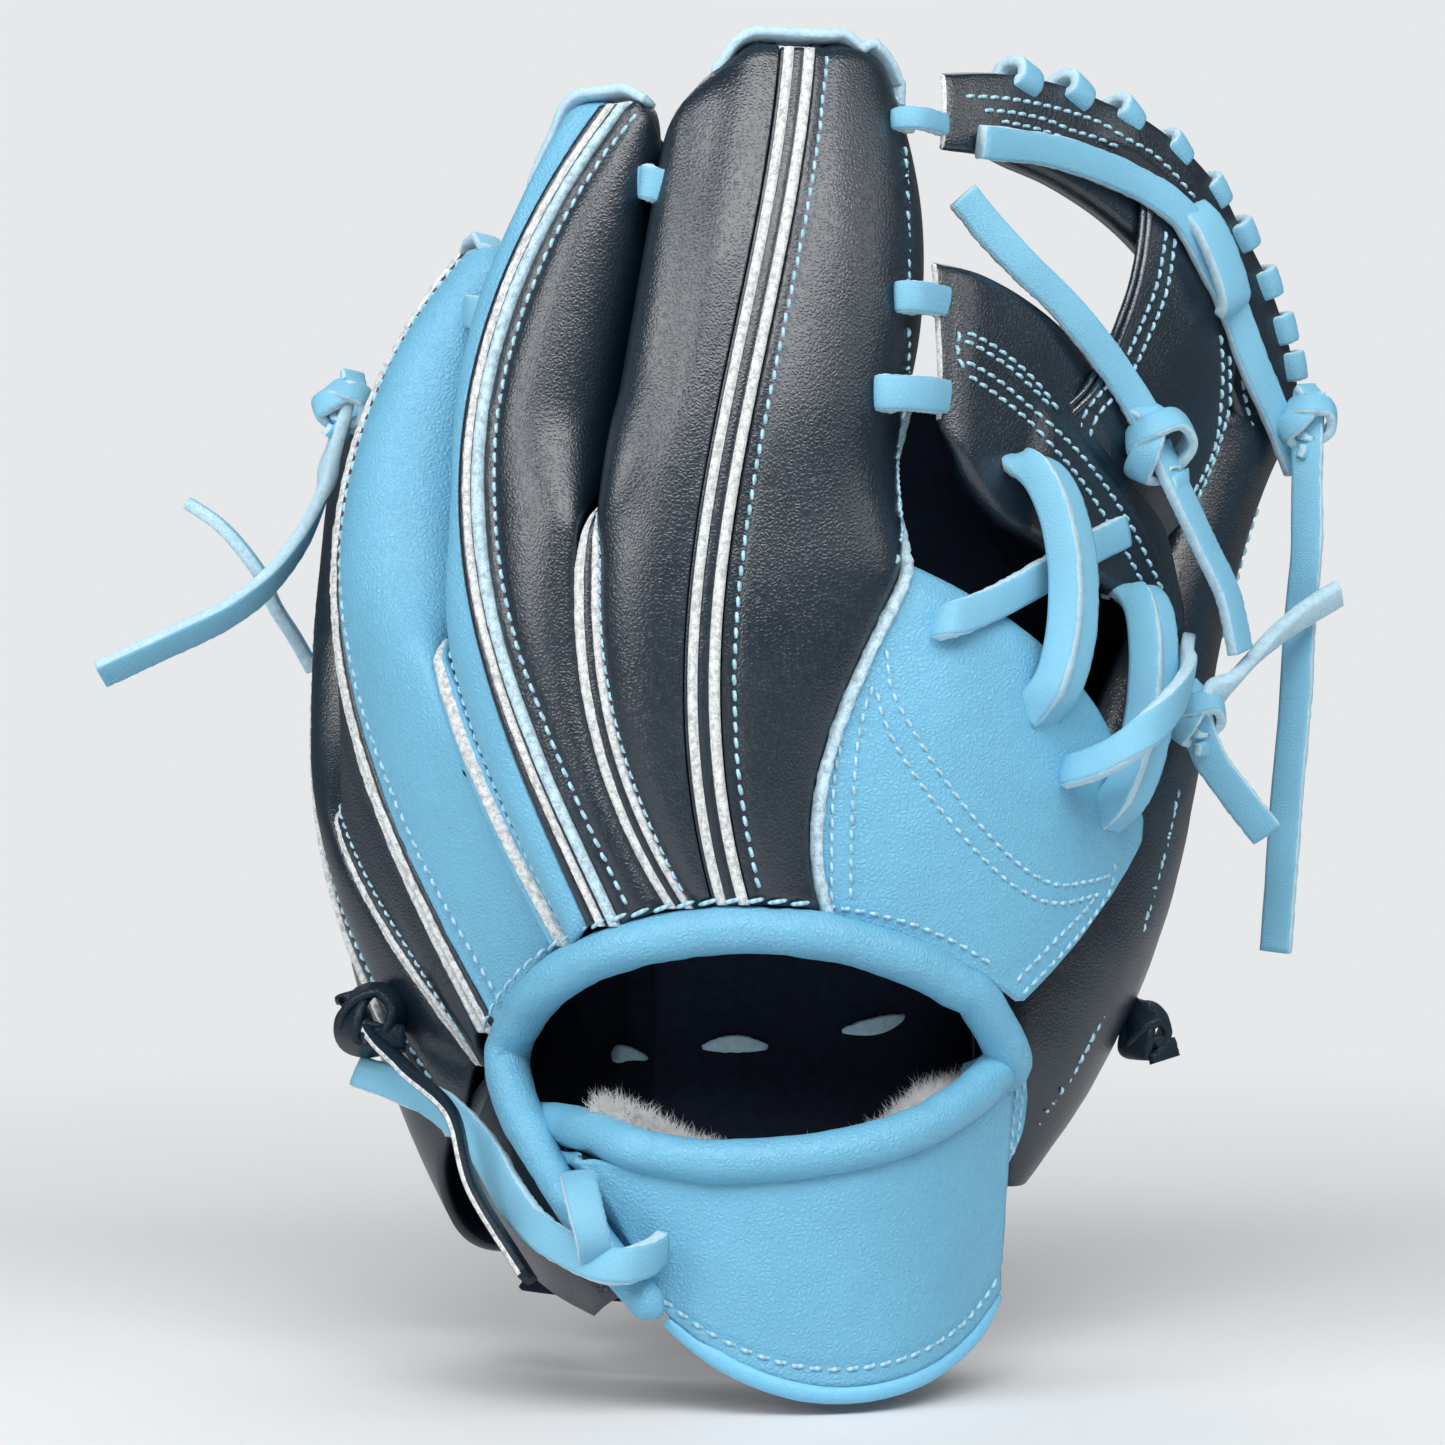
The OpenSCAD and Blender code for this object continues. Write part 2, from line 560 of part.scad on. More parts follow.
// Laces between the web's lower bar and the back of the thumb: two pairs of strands and two single ones
// across them, each through four control points
CROTCH_PAIRS = [
    [[55.2, -14.7, 122.5], [64, -24, 122], [70, -28, 86], [57.1, -30.9, 70]],
    [[80.8, 7.9, 96.6], [86, -2, 96], [84, -14, 60], [72.4, -16.2, 48.7]]
];
CROTCH_SINGLES = [
    [[38, -38.5, 89], [50, -35, 92], [66, -8, 104], [75.3, 3.2, 107.8]],
    [[64.3, -25.7, 59.1], [76, -42, 62], [94, -26, 80], [90.7, 18.9, 83.4]]
];
// Direction of the strands' width, along the web
pair_wide = [0.75, 0.65, 0];
module crotch_laces() {
    color(lace_color) {
        for (r = CROTCH_PAIRS) for (side = [-1, 1]) {
            path = curve(r, 8);
            lace([for (i = [0 : len(path) - 1])
                grade(path[i] + across_path(path, i, pair_wide) * side * (lace_w / 2 + seam_gap))],
                pair_wide);
        }
        for (r = CROTCH_SINGLES) lace([for (p = curve(r, 8)) grade(p)], [0.2, 0.3, 0.9]);
    }
}
STRAP_LACE_ROUTE = [
    [-84, 10, -5.5], [-75, 1, -7.5], [-65, -10, -11], [-56, -22, -17.5], [-48.6, -37, -26.5], [-42, -52, -31],
    [-33.5, -61, -34.5], [-27, -65.5, -35.5], [-21.5, -62.5, -34.5], [-18.5, -57, -33]
];
module strap_lace() {
    color(lace_color) lace([for (p = STRAP_LACE_ROUTE) grade(p)], [0.3, 0.3, 1]);
}

// Turns of lace over the web's outer edge
WRAPS = [0.16, 0.28, 0.39, 0.5, 0.6, 0.7, 0.79, 0.87, 0.94];
module web_edge_wraps() {
    reach = 4;
    r = web_t / 2 + lace_lift + seam_gap;
    color(lace_color) for (t = WRAPS) {
        e = web_point(bezier(TOP_UPPER, t), 0);
        out = unit(e - web_point(bezier(TOP_LOWER, t), 0));
        path = [
            e - out * reach - web_normal * r,
            for (a = [0 : 45 : 180]) e + (out * sin(a) - web_normal * cos(a)) * r,
            e - out * reach + web_normal * r
        ];
        lace(path, cross(out, web_normal), 6);
    }
}
SPAN_ROUTE = [[48, -14], [62, -2], [76, 7], [88, 10], [97, 7], [104, 1], [110, -5]];
module web_span_lace() {
    color(lace_color) lace([for (q = SPAN_ROUTE) web_point(q, -web_t / 2 - lace_lift)], [0.3, 0, 1]);
}

// Knots, set out from the leather that they are tied to, and loose tails; each route's points are
// in millimetres
web_knot_at = grade([86, 7.2, web_line(86) - 41.4]);
web_knot_axis = [0.5, 0.1, -1];
WEB_TAIL_UPPER = [
    [84.4, 7.2, 130.4], [80, 6.2, 138], [74, 3.2, 146], [65, -1.8, 156], [56, -5.8, 164], [49, -7.8, 171],
    [43, -9.8, 178]
];
WEB_TAIL_LOWER = [
    [85.4, 7.2, 128], [87.5, 7.2, 123], [91, 8, 116], [96, 10, 106], [101, 12, 96], [104, 14, 84]
];
tip_knot_at = grade([122.6, 40.4, thumb_h - 2]);
THUMB_TIP_ROUTE = [
    [123, 40.4, 142], [122.6, 40.4, 134], [122.4, 39.4, 122], [122, 38, 106], [120.5, 38, 90],
    [119.5, 38, 72], [118, 39, 54], [117, 41, 36], [116, 43, 18]
];
side_knot_at = grade([94.5, 12, thumb_z(0.59)]);
SIDE_LOWER_ROUTE = [
    [93.6, 11.4, 73.5], [95, 12.4, 67], [97.5, 14, 61], [102, 16, 55], [106.5, 18.5, 49.5], [110.5, 21, 45]
];
SIDE_UPPER_ROUTE = [
    [101, 13, 75.6], [105, 19, 80], [110, 26, 84.5], [116, 28.5, 89.5], [122, 30, 93.5], [128, 31, 97]
];
pinky_knot_at = grade([-90.5, 38.5, pinky_h + 1.5]);
PINKY_LONG_ROUTE = [
    [-89, 38.5, 144], [-90.5, 38.5, 137], [-93, 39.5, 128], [-96, 43, 119], [-101, 45, 109], [-108, 45, 100],
    [-117, 45, 93], [-130, 44, 86.5], [-145, 43, 79.5]
];
PINKY_SHORT_ROUTE = [
    [-101, 66, 82], [-104, 62, 88], [-108, 58, 95], [-111, 56, 102], [-116, 55, 109], [-121, 55, 114],
    [-127, 56, 118]
];
heel_bump_at = grade([85.3, 19, thumb_z(0.18)]);
heel_knot_at = grade([-82.2, 5.6, 6]);
HEEL_ROUTE = [
    [-84.2, 9.6, 9], [-80.2, 1.6, 3], [-72, -12, -3], [-62, -26, -10.5], [-56.5, -38.5, -24], [-45, -50, -40]
];
module tail(route) { lace(route, [0.5, 0.6, 0.4]); }
module web_knot() { color(lace_color) turn(web_knot_at, web_knot_axis); }
module web_tail_upper() { color(lace_color) tail(WEB_TAIL_UPPER); }
module web_tail_lower() { color(lace_color) tail(WEB_TAIL_LOWER); }
module thumb_tip_knot() { color(lace_color) turn(tip_knot_at, [0, 0, -1]); }
module thumb_tip_tail() { color(lace_color) tail(THUMB_TIP_ROUTE); }
module thumb_side_knot() { color(lace_color) turn(side_knot_at, [0.25, 0.15, -1]); }
module thumb_side_tail_upper() { color(lace_color) tail(SIDE_UPPER_ROUTE); }
module thumb_side_tail_lower() { color(lace_color) tail(SIDE_LOWER_ROUTE); }
module thumb_heel_knot() { color("#1c1c20") turn(heel_bump_at, [1, 0, 0]); }
module pinky_tip_knot() { color(lace_color) turn(pinky_knot_at, [-0.3, 0, -1]); }
module pinky_tail_long() { color(lace_color) tail(PINKY_LONG_ROUTE); }
module pinky_tail_short() { color(lace_color) tail(PINKY_SHORT_ROUTE); }
module heel_knot() { color("#1c1c20") turn(heel_knot_at, [0.45, -0.7, -0.65]); }
module heel_tail() { color("#1c1c20") tail(HEEL_ROUTE); }

palm_shell();
palm_felt();
palm_lining();
back_lining();
pinky_outer_panel();
pinky_inner_panel();
ring_outer_panel();
ring_inner_panel();
middle_outer_panel();
middle_inner_panel();
index_outer_panel();
index_inner_panel();
pinky_ridge_welt();
ring_ridge_welt();
middle_ridge_welt();
index_ridge_welt();
pinky_ring_welt();
ring_middle_welt();
middle_index_welt();
thumb_back_panel();
opening_binding();
wrist_strap();
strap_binding();
strap_piping();
strap_fleece();
strap_tab();
pinky_heel_panel();
palm_crease();
thumb_outer_panel();
thumb_front_panel();
thumb_lining();
web_top_bar();
web_post();
web_lower_bar();
fingertip_laces();
finger_tie_laces();
web_index_laces();
crotch_laces();
strap_lace();
web_edge_wraps();
web_span_lace();
web_knot();
web_tail_upper();
web_tail_lower();
thumb_tip_knot();
thumb_tip_tail();
thumb_side_knot();
thumb_side_tail_upper();
thumb_side_tail_lower();
thumb_heel_knot();
pinky_tip_knot();
pinky_tail_long();
pinky_tail_short();
heel_knot();
heel_tail();
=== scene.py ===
import math

import bpy
import numpy as np
from bpy.props import FloatProperty, FloatVectorProperty, PointerProperty
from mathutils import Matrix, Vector, noise


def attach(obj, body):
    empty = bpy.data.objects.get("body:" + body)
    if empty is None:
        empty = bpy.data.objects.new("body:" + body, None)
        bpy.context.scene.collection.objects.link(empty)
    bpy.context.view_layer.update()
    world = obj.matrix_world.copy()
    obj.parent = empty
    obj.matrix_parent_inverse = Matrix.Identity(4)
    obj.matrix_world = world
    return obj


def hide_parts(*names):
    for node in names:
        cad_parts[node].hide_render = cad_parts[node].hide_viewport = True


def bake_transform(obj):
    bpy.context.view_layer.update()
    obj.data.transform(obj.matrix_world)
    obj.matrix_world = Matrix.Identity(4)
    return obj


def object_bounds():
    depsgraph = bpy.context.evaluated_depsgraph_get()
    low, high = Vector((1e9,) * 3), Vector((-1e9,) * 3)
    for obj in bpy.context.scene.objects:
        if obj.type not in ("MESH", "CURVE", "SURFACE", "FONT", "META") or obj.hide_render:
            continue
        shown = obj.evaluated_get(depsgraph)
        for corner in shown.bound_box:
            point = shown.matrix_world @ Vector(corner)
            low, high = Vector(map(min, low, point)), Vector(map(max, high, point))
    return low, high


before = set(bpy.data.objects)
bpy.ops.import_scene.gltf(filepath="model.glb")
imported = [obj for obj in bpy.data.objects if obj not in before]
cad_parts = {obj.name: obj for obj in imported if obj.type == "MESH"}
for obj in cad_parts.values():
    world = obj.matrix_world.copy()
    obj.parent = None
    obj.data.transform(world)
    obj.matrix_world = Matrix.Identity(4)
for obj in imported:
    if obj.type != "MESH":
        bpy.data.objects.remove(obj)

bl_info = {
    "name": "Laced fielder's glove",
    "version": (1, 0, 0),
    "blender": (4, 5, 0),
    "location": "View3D > Sidebar > Glove",
    "description": "Leather glove with welted fingers, a padded opening and a laced two-bar web",
    "category": "Add Mesh",
}

CAD_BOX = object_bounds()

# Lengths below are in millimetres, as in the part's source; meshes are made in metres.
MM = 0.001
# Axis and radius of the pocket that the back of the hand curves round
POCKET_X = -5.0
POCKET_Y = 38.0
POCKET_R = 86.0
# Fingers from the little one to the index, the heights of their tips and that of the thumb's
FINGERS = ("pinky", "ring", "middle", "index")
TIPS = (137.0, 170.0, 196.0, 207.0)
THUMB_TIP = 137.0
# Depth of a finger's stall at the rim and at the tip, and of the groove between two fingers
STALL_DEPTH = 44.0
TIP_DEPTH = 9.0
GROOVE = 3.0
# The opening's rim: its highest point, its drop 45 degrees away and the angle of its middle
RIM_TOP = 33.0
RIM_DROP = 25.0
RIM_MID = -2.0
# Widths of the welts and the room beside a seam
RIDGE_WELT = 7.0
CROTCH_WELT = 6.0
SEAM_GAP = 0.4
# Where a finger's seam lies in the depth of its stall, and how square the finger's section is
SEAM_SHARE = 0.62
FULLNESS = 2.5
# Thickness of web, felt and lining, and the room under the felt
WEB_T = 5.0
FELT_T = 5.0
LINING_T = 1.4
FELT_GAP = 4 * SEAM_GAP
# Height of the strap and of its lowest point
STRAP_H = 39.0
STRAP_LOW = -61.0
# Share of the fingers' length up to which felt and lining run
INNER_TOP = 0.34

# Angle and radial offset of each line's control points, from the rim to the tip
RIDGES = (
    ((63, -20), (90, 6), (118, 20), (106, 4)),
    ((46, -16), (70, -2), (90, 18), (76, -26)),
    ((17, 0), (34.5, 3), (60, -6), (24.5, -28)),
    ((0, 0), (11, 3), (-4, -6), (-13.6, -28)),
)
VALLEYS = (
    ((78, -10), (116, 12), (146, 18), (130, -6)),
    ((52, -18), (76, 4), (110, 20), (92, -12)),
    ((25, -5), (44, 0), (64, -1), (57, -26)),
    ((7, -1), (30, 2), (19, -6), (13, -28)),
    ((-12, -1), (0, 2), (-66, -6), (-45, -28)),
)
# How far each valley ends below the lower of its two tips, its welt, and where the fingers part
VALLEY_DROP = (12, 10, 8, 10, 10)
WELTS = (0, CROTCH_WELT, CROTCH_WELT, CROTCH_WELT, 0)
CROTCHES = (-1, 0.42, 0.45, 0.52, 0.42)

# Camera of the photograph, in millimetres: where it stands and what it sees at the origin's distance
EYE = (-6.8, -750.0, 68.8)
FIELD = 303.45
FRAME_PX = 1445


def mix(a, b, u):
    return a + (b - a) * u


def smooth(a, b, x):
    """0 up to a and 1 from b on, with a soft step between them."""
    u = np.clip((np.asarray(x, float) - a) / (b - a), 0, 1)
    return u * u * (3 - 2 * u)


def unit(v):
    v = np.asarray(v, float)
    return v / np.maximum(1e-9, np.linalg.norm(v, axis=-1, keepdims=True))


def bezier(points, t):
    """Points of a cubic curve, from its four control points."""
    p = np.asarray(points, float)
    t = np.asarray(t, float)[..., None]
    return (1 - t) ** 3 * p[0] + 3 * t * (1 - t) ** 2 * p[1] + 3 * t * t * (1 - t) * p[2] + t ** 3 * p[3]


def arc(width, radius):
    """Angle that a width takes up at a radius."""
    return width / radius * 180 / math.pi


def polar(angle, radius, z):
    """Angle, radius and height as one array."""
    return np.stack(np.broadcast_arrays(np.asarray(angle, float), radius, z), -1)


def place(q):
    """A point from its angle round the pocket axis, its radius and its height."""
    q = np.asarray(q, float)
    a = np.radians(q[..., 0])
    return np.stack([POCKET_X - q[..., 1] * np.sin(a), POCKET_Y - q[..., 1] * np.cos(a), q[..., 2]], -1)


def rim_z(angle):
    """Height of the opening's rim at an angle."""
    return RIM_TOP - RIM_DROP * ((angle - RIM_MID) / 45) ** 2


def stall(t):
    """Depth of a finger's stall at a share of its length."""
    return mix(STALL_DEPTH, TIP_DEPTH, np.asarray(t, float) ** 3)


def valley_tip(k):
    """Height at which a valley ends."""
    return min(TIPS[max(0, k - 1)], TIPS[min(3, k)]) - VALLEY_DROP[k]


def apart(k, t):
    """How far two fingers have parted: 0 below their crotch, 1 above it."""
    return smooth(CROTCHES[k] - 0.04, CROTCHES[k] + 0.12, t)


def ridge(f, t):
    """Angle, radius and height along a finger's ridge."""
    q = bezier(RIDGES[f], t)
    return polar(q[..., 0], POCKET_R + q[..., 1], mix(rim_z(RIDGES[f][0][0]), TIPS[f], t))


def valley(k, t):
    """Angle, radius and height along the valley beside a finger."""
    q = bezier(VALLEYS[k], t)
    depth = mix(GROOVE, SEAM_SHARE * stall(t), apart(k, t))
    return polar(q[..., 0], POCKET_R + q[..., 1] - depth, mix(rim_z(VALLEYS[k][0][0]), valley_tip(k), t))


def seam_angle(f, side, t, inset):
    """Angle of a finger's seam, set in from its valley."""
    v = valley(f + side, t)
    return v[..., 0] - (1 - 2 * side) * arc(WELTS[f + side] / 2 + SEAM_GAP + inset, v[..., 1])


def back_point(f, side, a, t):
    """A point of a finger's back: a runs from 0 at the ridge to 90 at the seam, t from rim to tip."""
    k = f + side
    r = ridge(f, t)
    v = valley(k, t)
    s = np.sin(np.radians(a)) ** (2 / FULLNESS)
    c = np.maximum(0, np.cos(np.radians(a))) ** (2 / FULLNESS)
    foot = rim_z(mix(RIDGES[f][0][0], VALLEYS[k][0][0], s))
    head = mix(valley_tip(k), TIPS[f], np.cos(np.radians(a)))
    start = r[..., 0] + (1 - 2 * side) * arc(RIDGE_WELT / 2 + SEAM_GAP, r[..., 1])
    return polar(mix(start, seam_angle(f, side, t, 0), s), mix(v[..., 1], r[..., 1], c), mix(foot, head, t))


def palm_under(f, t):
    """Radius of the palm leather under a finger's ridge."""
    return ridge(f, t)[..., 1] - stall(t)


def palm_point(u, t, lift):
    """A point of the palm leather: u runs from 0 at the little finger's edge to 4 at the index finger's."""
    f = min(3, int(u))
    w = (u - f) * 2 - 1
    side = 0 if w < 0 else 1
    k = f + side
    r = ridge(f, t)
    v = valley(k, t)
    m = abs(w)
    edge = (seam_angle(f, side, t, size_mm("leather_t")) - r[..., 0]) / (v[..., 0] - r[..., 0])
    down = np.minimum(1, (m / edge) ** 2.2)
    seam = mix((palm_under(max(0, k - 1), t) + palm_under(min(3, k), t)) / 2,
               v[..., 1] - size_mm("leather_t") - 3 * SEAM_GAP, apart(k, t))
    return polar(mix(r[..., 0], v[..., 0], m), mix(palm_under(f, t), seam, down) + lift,
                 mix(r[..., 2], v[..., 2], m))


def crease(z):
    """The line on which the thumb folds, at height z."""
    share = (z + 30) / 125
    return polar(mix(-68, -52, share), POCKET_R - mix(32, 28, share), z)


def palm_column(u, t, lift):
    """Points of the palm at rows t; rows below 0 run down to the heel."""
    up = np.maximum(t, 0)
    q = palm_point(min(u, 4), up, lift)
    if u > 4:
        c = crease(q[..., 2])
        c[..., 1] += lift
        q = np.concatenate([mix(q[..., :2], c[..., :2], u - 4), q[..., 2:]], -1)
    v = np.clip(-t, 0, 1)
    low = np.minimum(q[..., 2] - 8, -50)
    radius = mix(q[..., 1], 46 + lift, v) - 24 * v * (1 - v)
    return place(polar(q[..., 0], np.where(t < 0, radius, q[..., 1]), mix(q[..., 2], low, v)))


def linear(hex_colour):
    """Linear red, green and blue of an sRGB hex colour."""
    parts = [int(hex_colour[i:i + 2], 16) / 255 for i in (1, 3, 5)]
    return [p / 12.92 if p <= 0.04045 else ((p + 0.055) / 1.055) ** 2.4 for p in parts]


class GloveSizes(bpy.types.PropertyGroup):
    """Sizes of leather, lace and thread"""
    leather_t: FloatProperty(name="Leather", description="Thickness of the shell leather",
                             default=0.0024, unit="LENGTH", precision=4)
    roll_d: FloatProperty(name="Binding roll", description="Diameter of the padded roll round the opening",
                          default=0.0095, unit="LENGTH", precision=4)
    piping_d: FloatProperty(name="Piping", description="Diameter of the piping on the strap",
                            default=0.004, unit="LENGTH", precision=4)
    lace_w: FloatProperty(name="Lace width", description="Width of the rawhide lace",
                          default=0.007, unit="LENGTH", precision=4)
    lace_t: FloatProperty(name="Lace thickness", description="Thickness of the rawhide lace",
                          default=0.003, unit="LENGTH", precision=4)
    thread_d: FloatProperty(name="Thread", description="Diameter of the sewing thread",
                            default=0.0009, unit="LENGTH", precision=4)
    stitch: FloatProperty(name="Stitch pitch", description="Distance from one stitch to the next",
                          default=0.0031, unit="LENGTH", precision=4)
    pile: FloatProperty(name="Fleece pile", description="Length of the fleece's fibres",
                        default=0.007, unit="LENGTH", precision=4)


def colour_prop(name, description, hex_colour):
    return FloatVectorProperty(name=name, description=description, default=linear(hex_colour),
                               subtype="COLOR", min=0, max=1)


class GloveColours(bpy.types.PropertyGroup):
    """Colours of the glove's materials"""
    black: colour_prop("Black leather", "Dyed black shell leather", "#0d1f2c")
    blue: colour_prop("Blue leather", "Dyed light blue shell leather", "#70b5d6")
    raw: colour_prop("Raw edge", "Undyed cut edge of the leather", "#dfe2e3")
    raw_blue: colour_prop("Blue raw edge", "Cut edge of the blue leather", "#bcd7e4")
    lace: colour_prop("Lace", "Grain side of the lace", "#80bfdc")
    flesh: colour_prop("Lace edge", "Flesh side and cut edges of the lace", "#b9d9e8")
    thread: colour_prop("Thread", "Sewing thread", "#aedaec")
    lining: colour_prop("Lining", "Suede lining of the stalls", "#101828")
    felt: colour_prop("Felt", "Pressed palm felt", "#cfc8b8")
    fleece: colour_prop("Fleece", "Pile behind the strap", "#f6f5f4")
    floor: colour_prop("Floor", "Painted studio floor", "#e6e8ea")


def size_mm(name):
    """One of the panel's sizes, in millimetres."""
    return getattr(bpy.context.scene.glove_sizes, name) / MM


def colour(name, shade=1.0):
    """One of the panel's colours, made darker or lighter."""
    return [c * shade for c in getattr(bpy.context.scene.glove_colours, name)] + [1.0]


def add_node(tree, kind, inputs=None, **settings):
    """Adds a node with its settings; an input that is a socket is linked, any other is set."""
    made = tree.nodes.new(kind)
    for name, value in settings.items():
        setattr(made, name, value)
    for name, value in (inputs or {}).items():
        if isinstance(value, bpy.types.NodeSocket):
            tree.links.new(value, made.inputs[name])
        else:
            made.inputs[name].default_value = value
    return made


def new_material(name):
    """An empty material, its tree and its object coordinates, which are metres of the glove."""
    made = bpy.data.materials.new(name)
    made.use_nodes = True
    made.node_tree.nodes.clear()
    where = add_node(made.node_tree, "ShaderNodeTexCoord").outputs["Object"]
    return made, made.node_tree, where


def surface(tree, base, rough, height, depth_mm, **extra):
    """A shader with its colour, roughness and bump, and the output that it ends in."""
    bump = add_node(tree, "ShaderNodeBump", {"Height": height, "Distance": depth_mm * MM, "Strength": 1.0})
    inputs = {"Base Color": base, "Roughness": rough, "Normal": bump.outputs["Normal"]}
    inputs.update(extra)
    shader = add_node(tree, "ShaderNodeBsdfPrincipled", inputs).outputs["BSDF"]
    return shader, add_node(tree, "ShaderNodeOutputMaterial", {"Surface": shader})


def hide_leather(name, light, dark, grain_mm, depth_mm, rough, **extra):
    """Full-grain leather: pebbles of one size with fine pores, shade painted into the creases between the
    pebbles, and slow changes of dye and polish.
    """
    made, tree, where = new_material(name)
    sway = add_node(tree, "ShaderNodeTexNoise", {"Vector": where, "Scale": 400 / grain_mm, "Detail": 1.0})
    bent = add_node(tree, "ShaderNodeVectorMath",
                    {0: sway.outputs["Color"], 1: [grain_mm * MM] * 3, 2: where},
                    operation="MULTIPLY_ADD")
    cells = add_node(tree, "ShaderNodeTexVoronoi", {"Vector": bent.outputs[0], "Scale": 1000 / grain_mm},
                     feature="DISTANCE_TO_EDGE")
    pebble = add_node(tree, "ShaderNodeMapRange", {"Value": cells.outputs["Distance"], "From Max": 0.35},
                      interpolation_type="SMOOTHSTEP")
    pores = add_node(tree, "ShaderNodeTexNoise", {"Vector": where, "Scale": 2600 / grain_mm, "Detail": 2.0})
    height = add_node(tree, "ShaderNodeMath",
                      {0: pores.outputs["Fac"], 1: 0.35, 2: pebble.outputs["Result"]},
                      operation="MULTIPLY_ADD")
    blotch = add_node(tree, "ShaderNodeTexNoise", {"Vector": where, "Scale": 60.0, "Detail": 3.0})
    # Colour: the pebble term paints shade into the creases between the pebbles; the slow blotches are
    # changes of dye
    shade = add_node(tree, "ShaderNodeMath",
                     {0: pebble.outputs["Result"], 1: 0.35, 2: blotch.outputs["Fac"]},
                     operation="MULTIPLY_ADD", use_clamp=True)
    base = add_node(tree, "ShaderNodeMix", {0: shade.outputs[0], 6: dark, 7: light}, data_type="RGBA")
    polish = add_node(tree, "ShaderNodeMapRange",
                      {"Value": blotch.outputs["Fac"], "To Min": rough - 0.08, "To Max": rough + 0.08})
    surface(tree, base.outputs[2], polish.outputs["Result"], height.outputs[0], depth_mm, **extra)
    return made


def cut_leather(name, light, dark, fibre_mm, depth_mm, spread=0.2):
    """Cut or split leather: torn fibres with grey hollows, quite matt."""
    made, tree, where = new_material(name)
    fibres = add_node(tree, "ShaderNodeTexNoise", {"Vector": where, "Scale": 1000 / fibre_mm, "Detail": 3.0,
                                                   "Roughness": 0.7})
    clumps = add_node(tree, "ShaderNodeTexNoise", {"Vector": where, "Scale": 260 / fibre_mm, "Detail": 2.0})
    both = add_node(tree, "ShaderNodeMath", {0: fibres.outputs["Fac"], 1: clumps.outputs["Fac"]},
                    operation="ADD")
    shade = add_node(tree, "ShaderNodeMapRange",
                     {"Value": both.outputs[0], "From Min": 0.94 - spread, "From Max": 0.94 + spread})
    base = add_node(tree, "ShaderNodeMix", {0: shade.outputs["Result"], 6: dark, 7: light}, data_type="RGBA")
    surface(tree, base.outputs[2], 0.92, fibres.outputs["Fac"], depth_mm, **{"Specular IOR Level": 0.2})
    return made


def finish(name):
    """One of the glove's materials, made when it is first asked for."""
    found = bpy.data.materials.get(FINISHES[name][0])
    return found or FINISHES[name][1](FINISHES[name][0])


def black_hide(name):
    # Plated black steerhide with a pebble print of about 1 mm: blue-black, with a soft even sheen
    return hide_leather(name, colour("black", 1.2), colour("black", 0.8), 0.9, 0.04, 0.32,
                        **{"Specular IOR Level": 0.85})


def blue_hide(name):
    # Dyed full-grain steerhide with a print of about 1 mm: even pale blue with a satin polish
    return hide_leather(name, colour("blue", 1.06), colour("blue", 0.9), 1.0, 0.11, 0.42,
                        **{"Specular IOR Level": 0.5})


def lace_hide(name):
    # Chrome-tanned rawhide lace: waxy and nearly smooth, with faint pores
    return hide_leather(name, colour("lace", 1.06), colour("lace", 0.88), 0.7, 0.05, 0.55,
                        **{"Specular IOR Level": 0.3})


def piping_hide(name):
    # Thin skived blue leather stretched round a cord: paler and a little shinier than the shell
    return hide_leather(name, colour("blue", 1.32), colour("blue", 1.1), 0.8, 0.04, 0.42)


def black_lace_hide(name):
    # Black rawhide lace: waxy, darker than the shell
    return hide_leather(name, colour("black", 1.3), colour("black", 0.8), 0.7, 0.05, 0.4,
                        **{"Specular IOR Level": 0.3})


def black_piping_hide(name):
    # Black leather stretched round a cord and rubbed bright: a dark roll with a sharp light line
    return hide_leather(name, colour("black", 1.6), colour("black", 1.0), 0.8, 0.02, 0.2,
                        **{"Specular IOR Level": 1.0})


def raw_edge(name):
    # Cut edge of chrome-tanned leather: off-white fibres with grey dust in the hollows
    return cut_leather(name, colour("raw", 1.15), colour("raw", 0.55), 0.3, 0.2)


def blue_raw_edge(name):
    # Cut edge of the blue leather: white fibres with blue dye between them
    return cut_leather(name, colour("raw_blue", 1.2), colour("raw_blue", 0.62), 0.4, 0.2)


def lace_flesh(name):
    # Split side of the lace: pale blue suede with short loose fibres
    return cut_leather(name, colour("flesh", 1.12), colour("flesh", 0.85), 0.3, 0.12, spread=0.3)


def lining_suede(name):
    # Navy suede worn smooth by the hand: nearly black, matt
    return cut_leather(name, colour("lining", 1.25), colour("lining", 0.8), 0.6, 0.06)


def wool_felt(name):
    # Pressed wool felt: cream, matt, with short tangled fibres
    return cut_leather(name, colour("felt", 1.1), colour("felt", 0.8), 0.7, 0.2)


def fleece_pile(name):
    # Sheepskin-like polyester pile: white strands that scatter light and glow at the edge
    made, tree, where = new_material(name)
    tone = add_node(tree, "ShaderNodeTexNoise", {"Vector": where, "Scale": 500.0, "Detail": 2.0})
    base = add_node(tree, "ShaderNodeMix", {0: tone.outputs["Fac"], 6: colour("fleece", 0.95),
                                            7: colour("fleece", 1.12)}, data_type="RGBA")
    surface(tree, base.outputs[2], 0.9, tone.outputs["Fac"], 0.1,
            **{"Subsurface Weight": 0.8, "Subsurface Scale": 0.004, "Subsurface Radius": (1.0, 1.0, 1.0)})
    return made


def waxed_thread(name):
    # Bonded polyester thread of three strands, 0.9 mm, waxed: pale with dark twist lines, drawn at twice
    # their real 0.4 mm so that they show
    made, tree, where = new_material(name)
    twist = add_node(tree, "ShaderNodeTexWave",
                     {"Vector": where, "Scale": 1000 / 0.8 / 6.28, "Distortion": 2.0})
    base = add_node(tree, "ShaderNodeMix", {0: twist.outputs["Fac"], 6: colour("thread", 0.72),
                                            7: colour("thread", 1.08)}, data_type="RGBA")
    surface(tree, base.outputs[2], 0.5, twist.outputs["Fac"], 0.08)
    return made


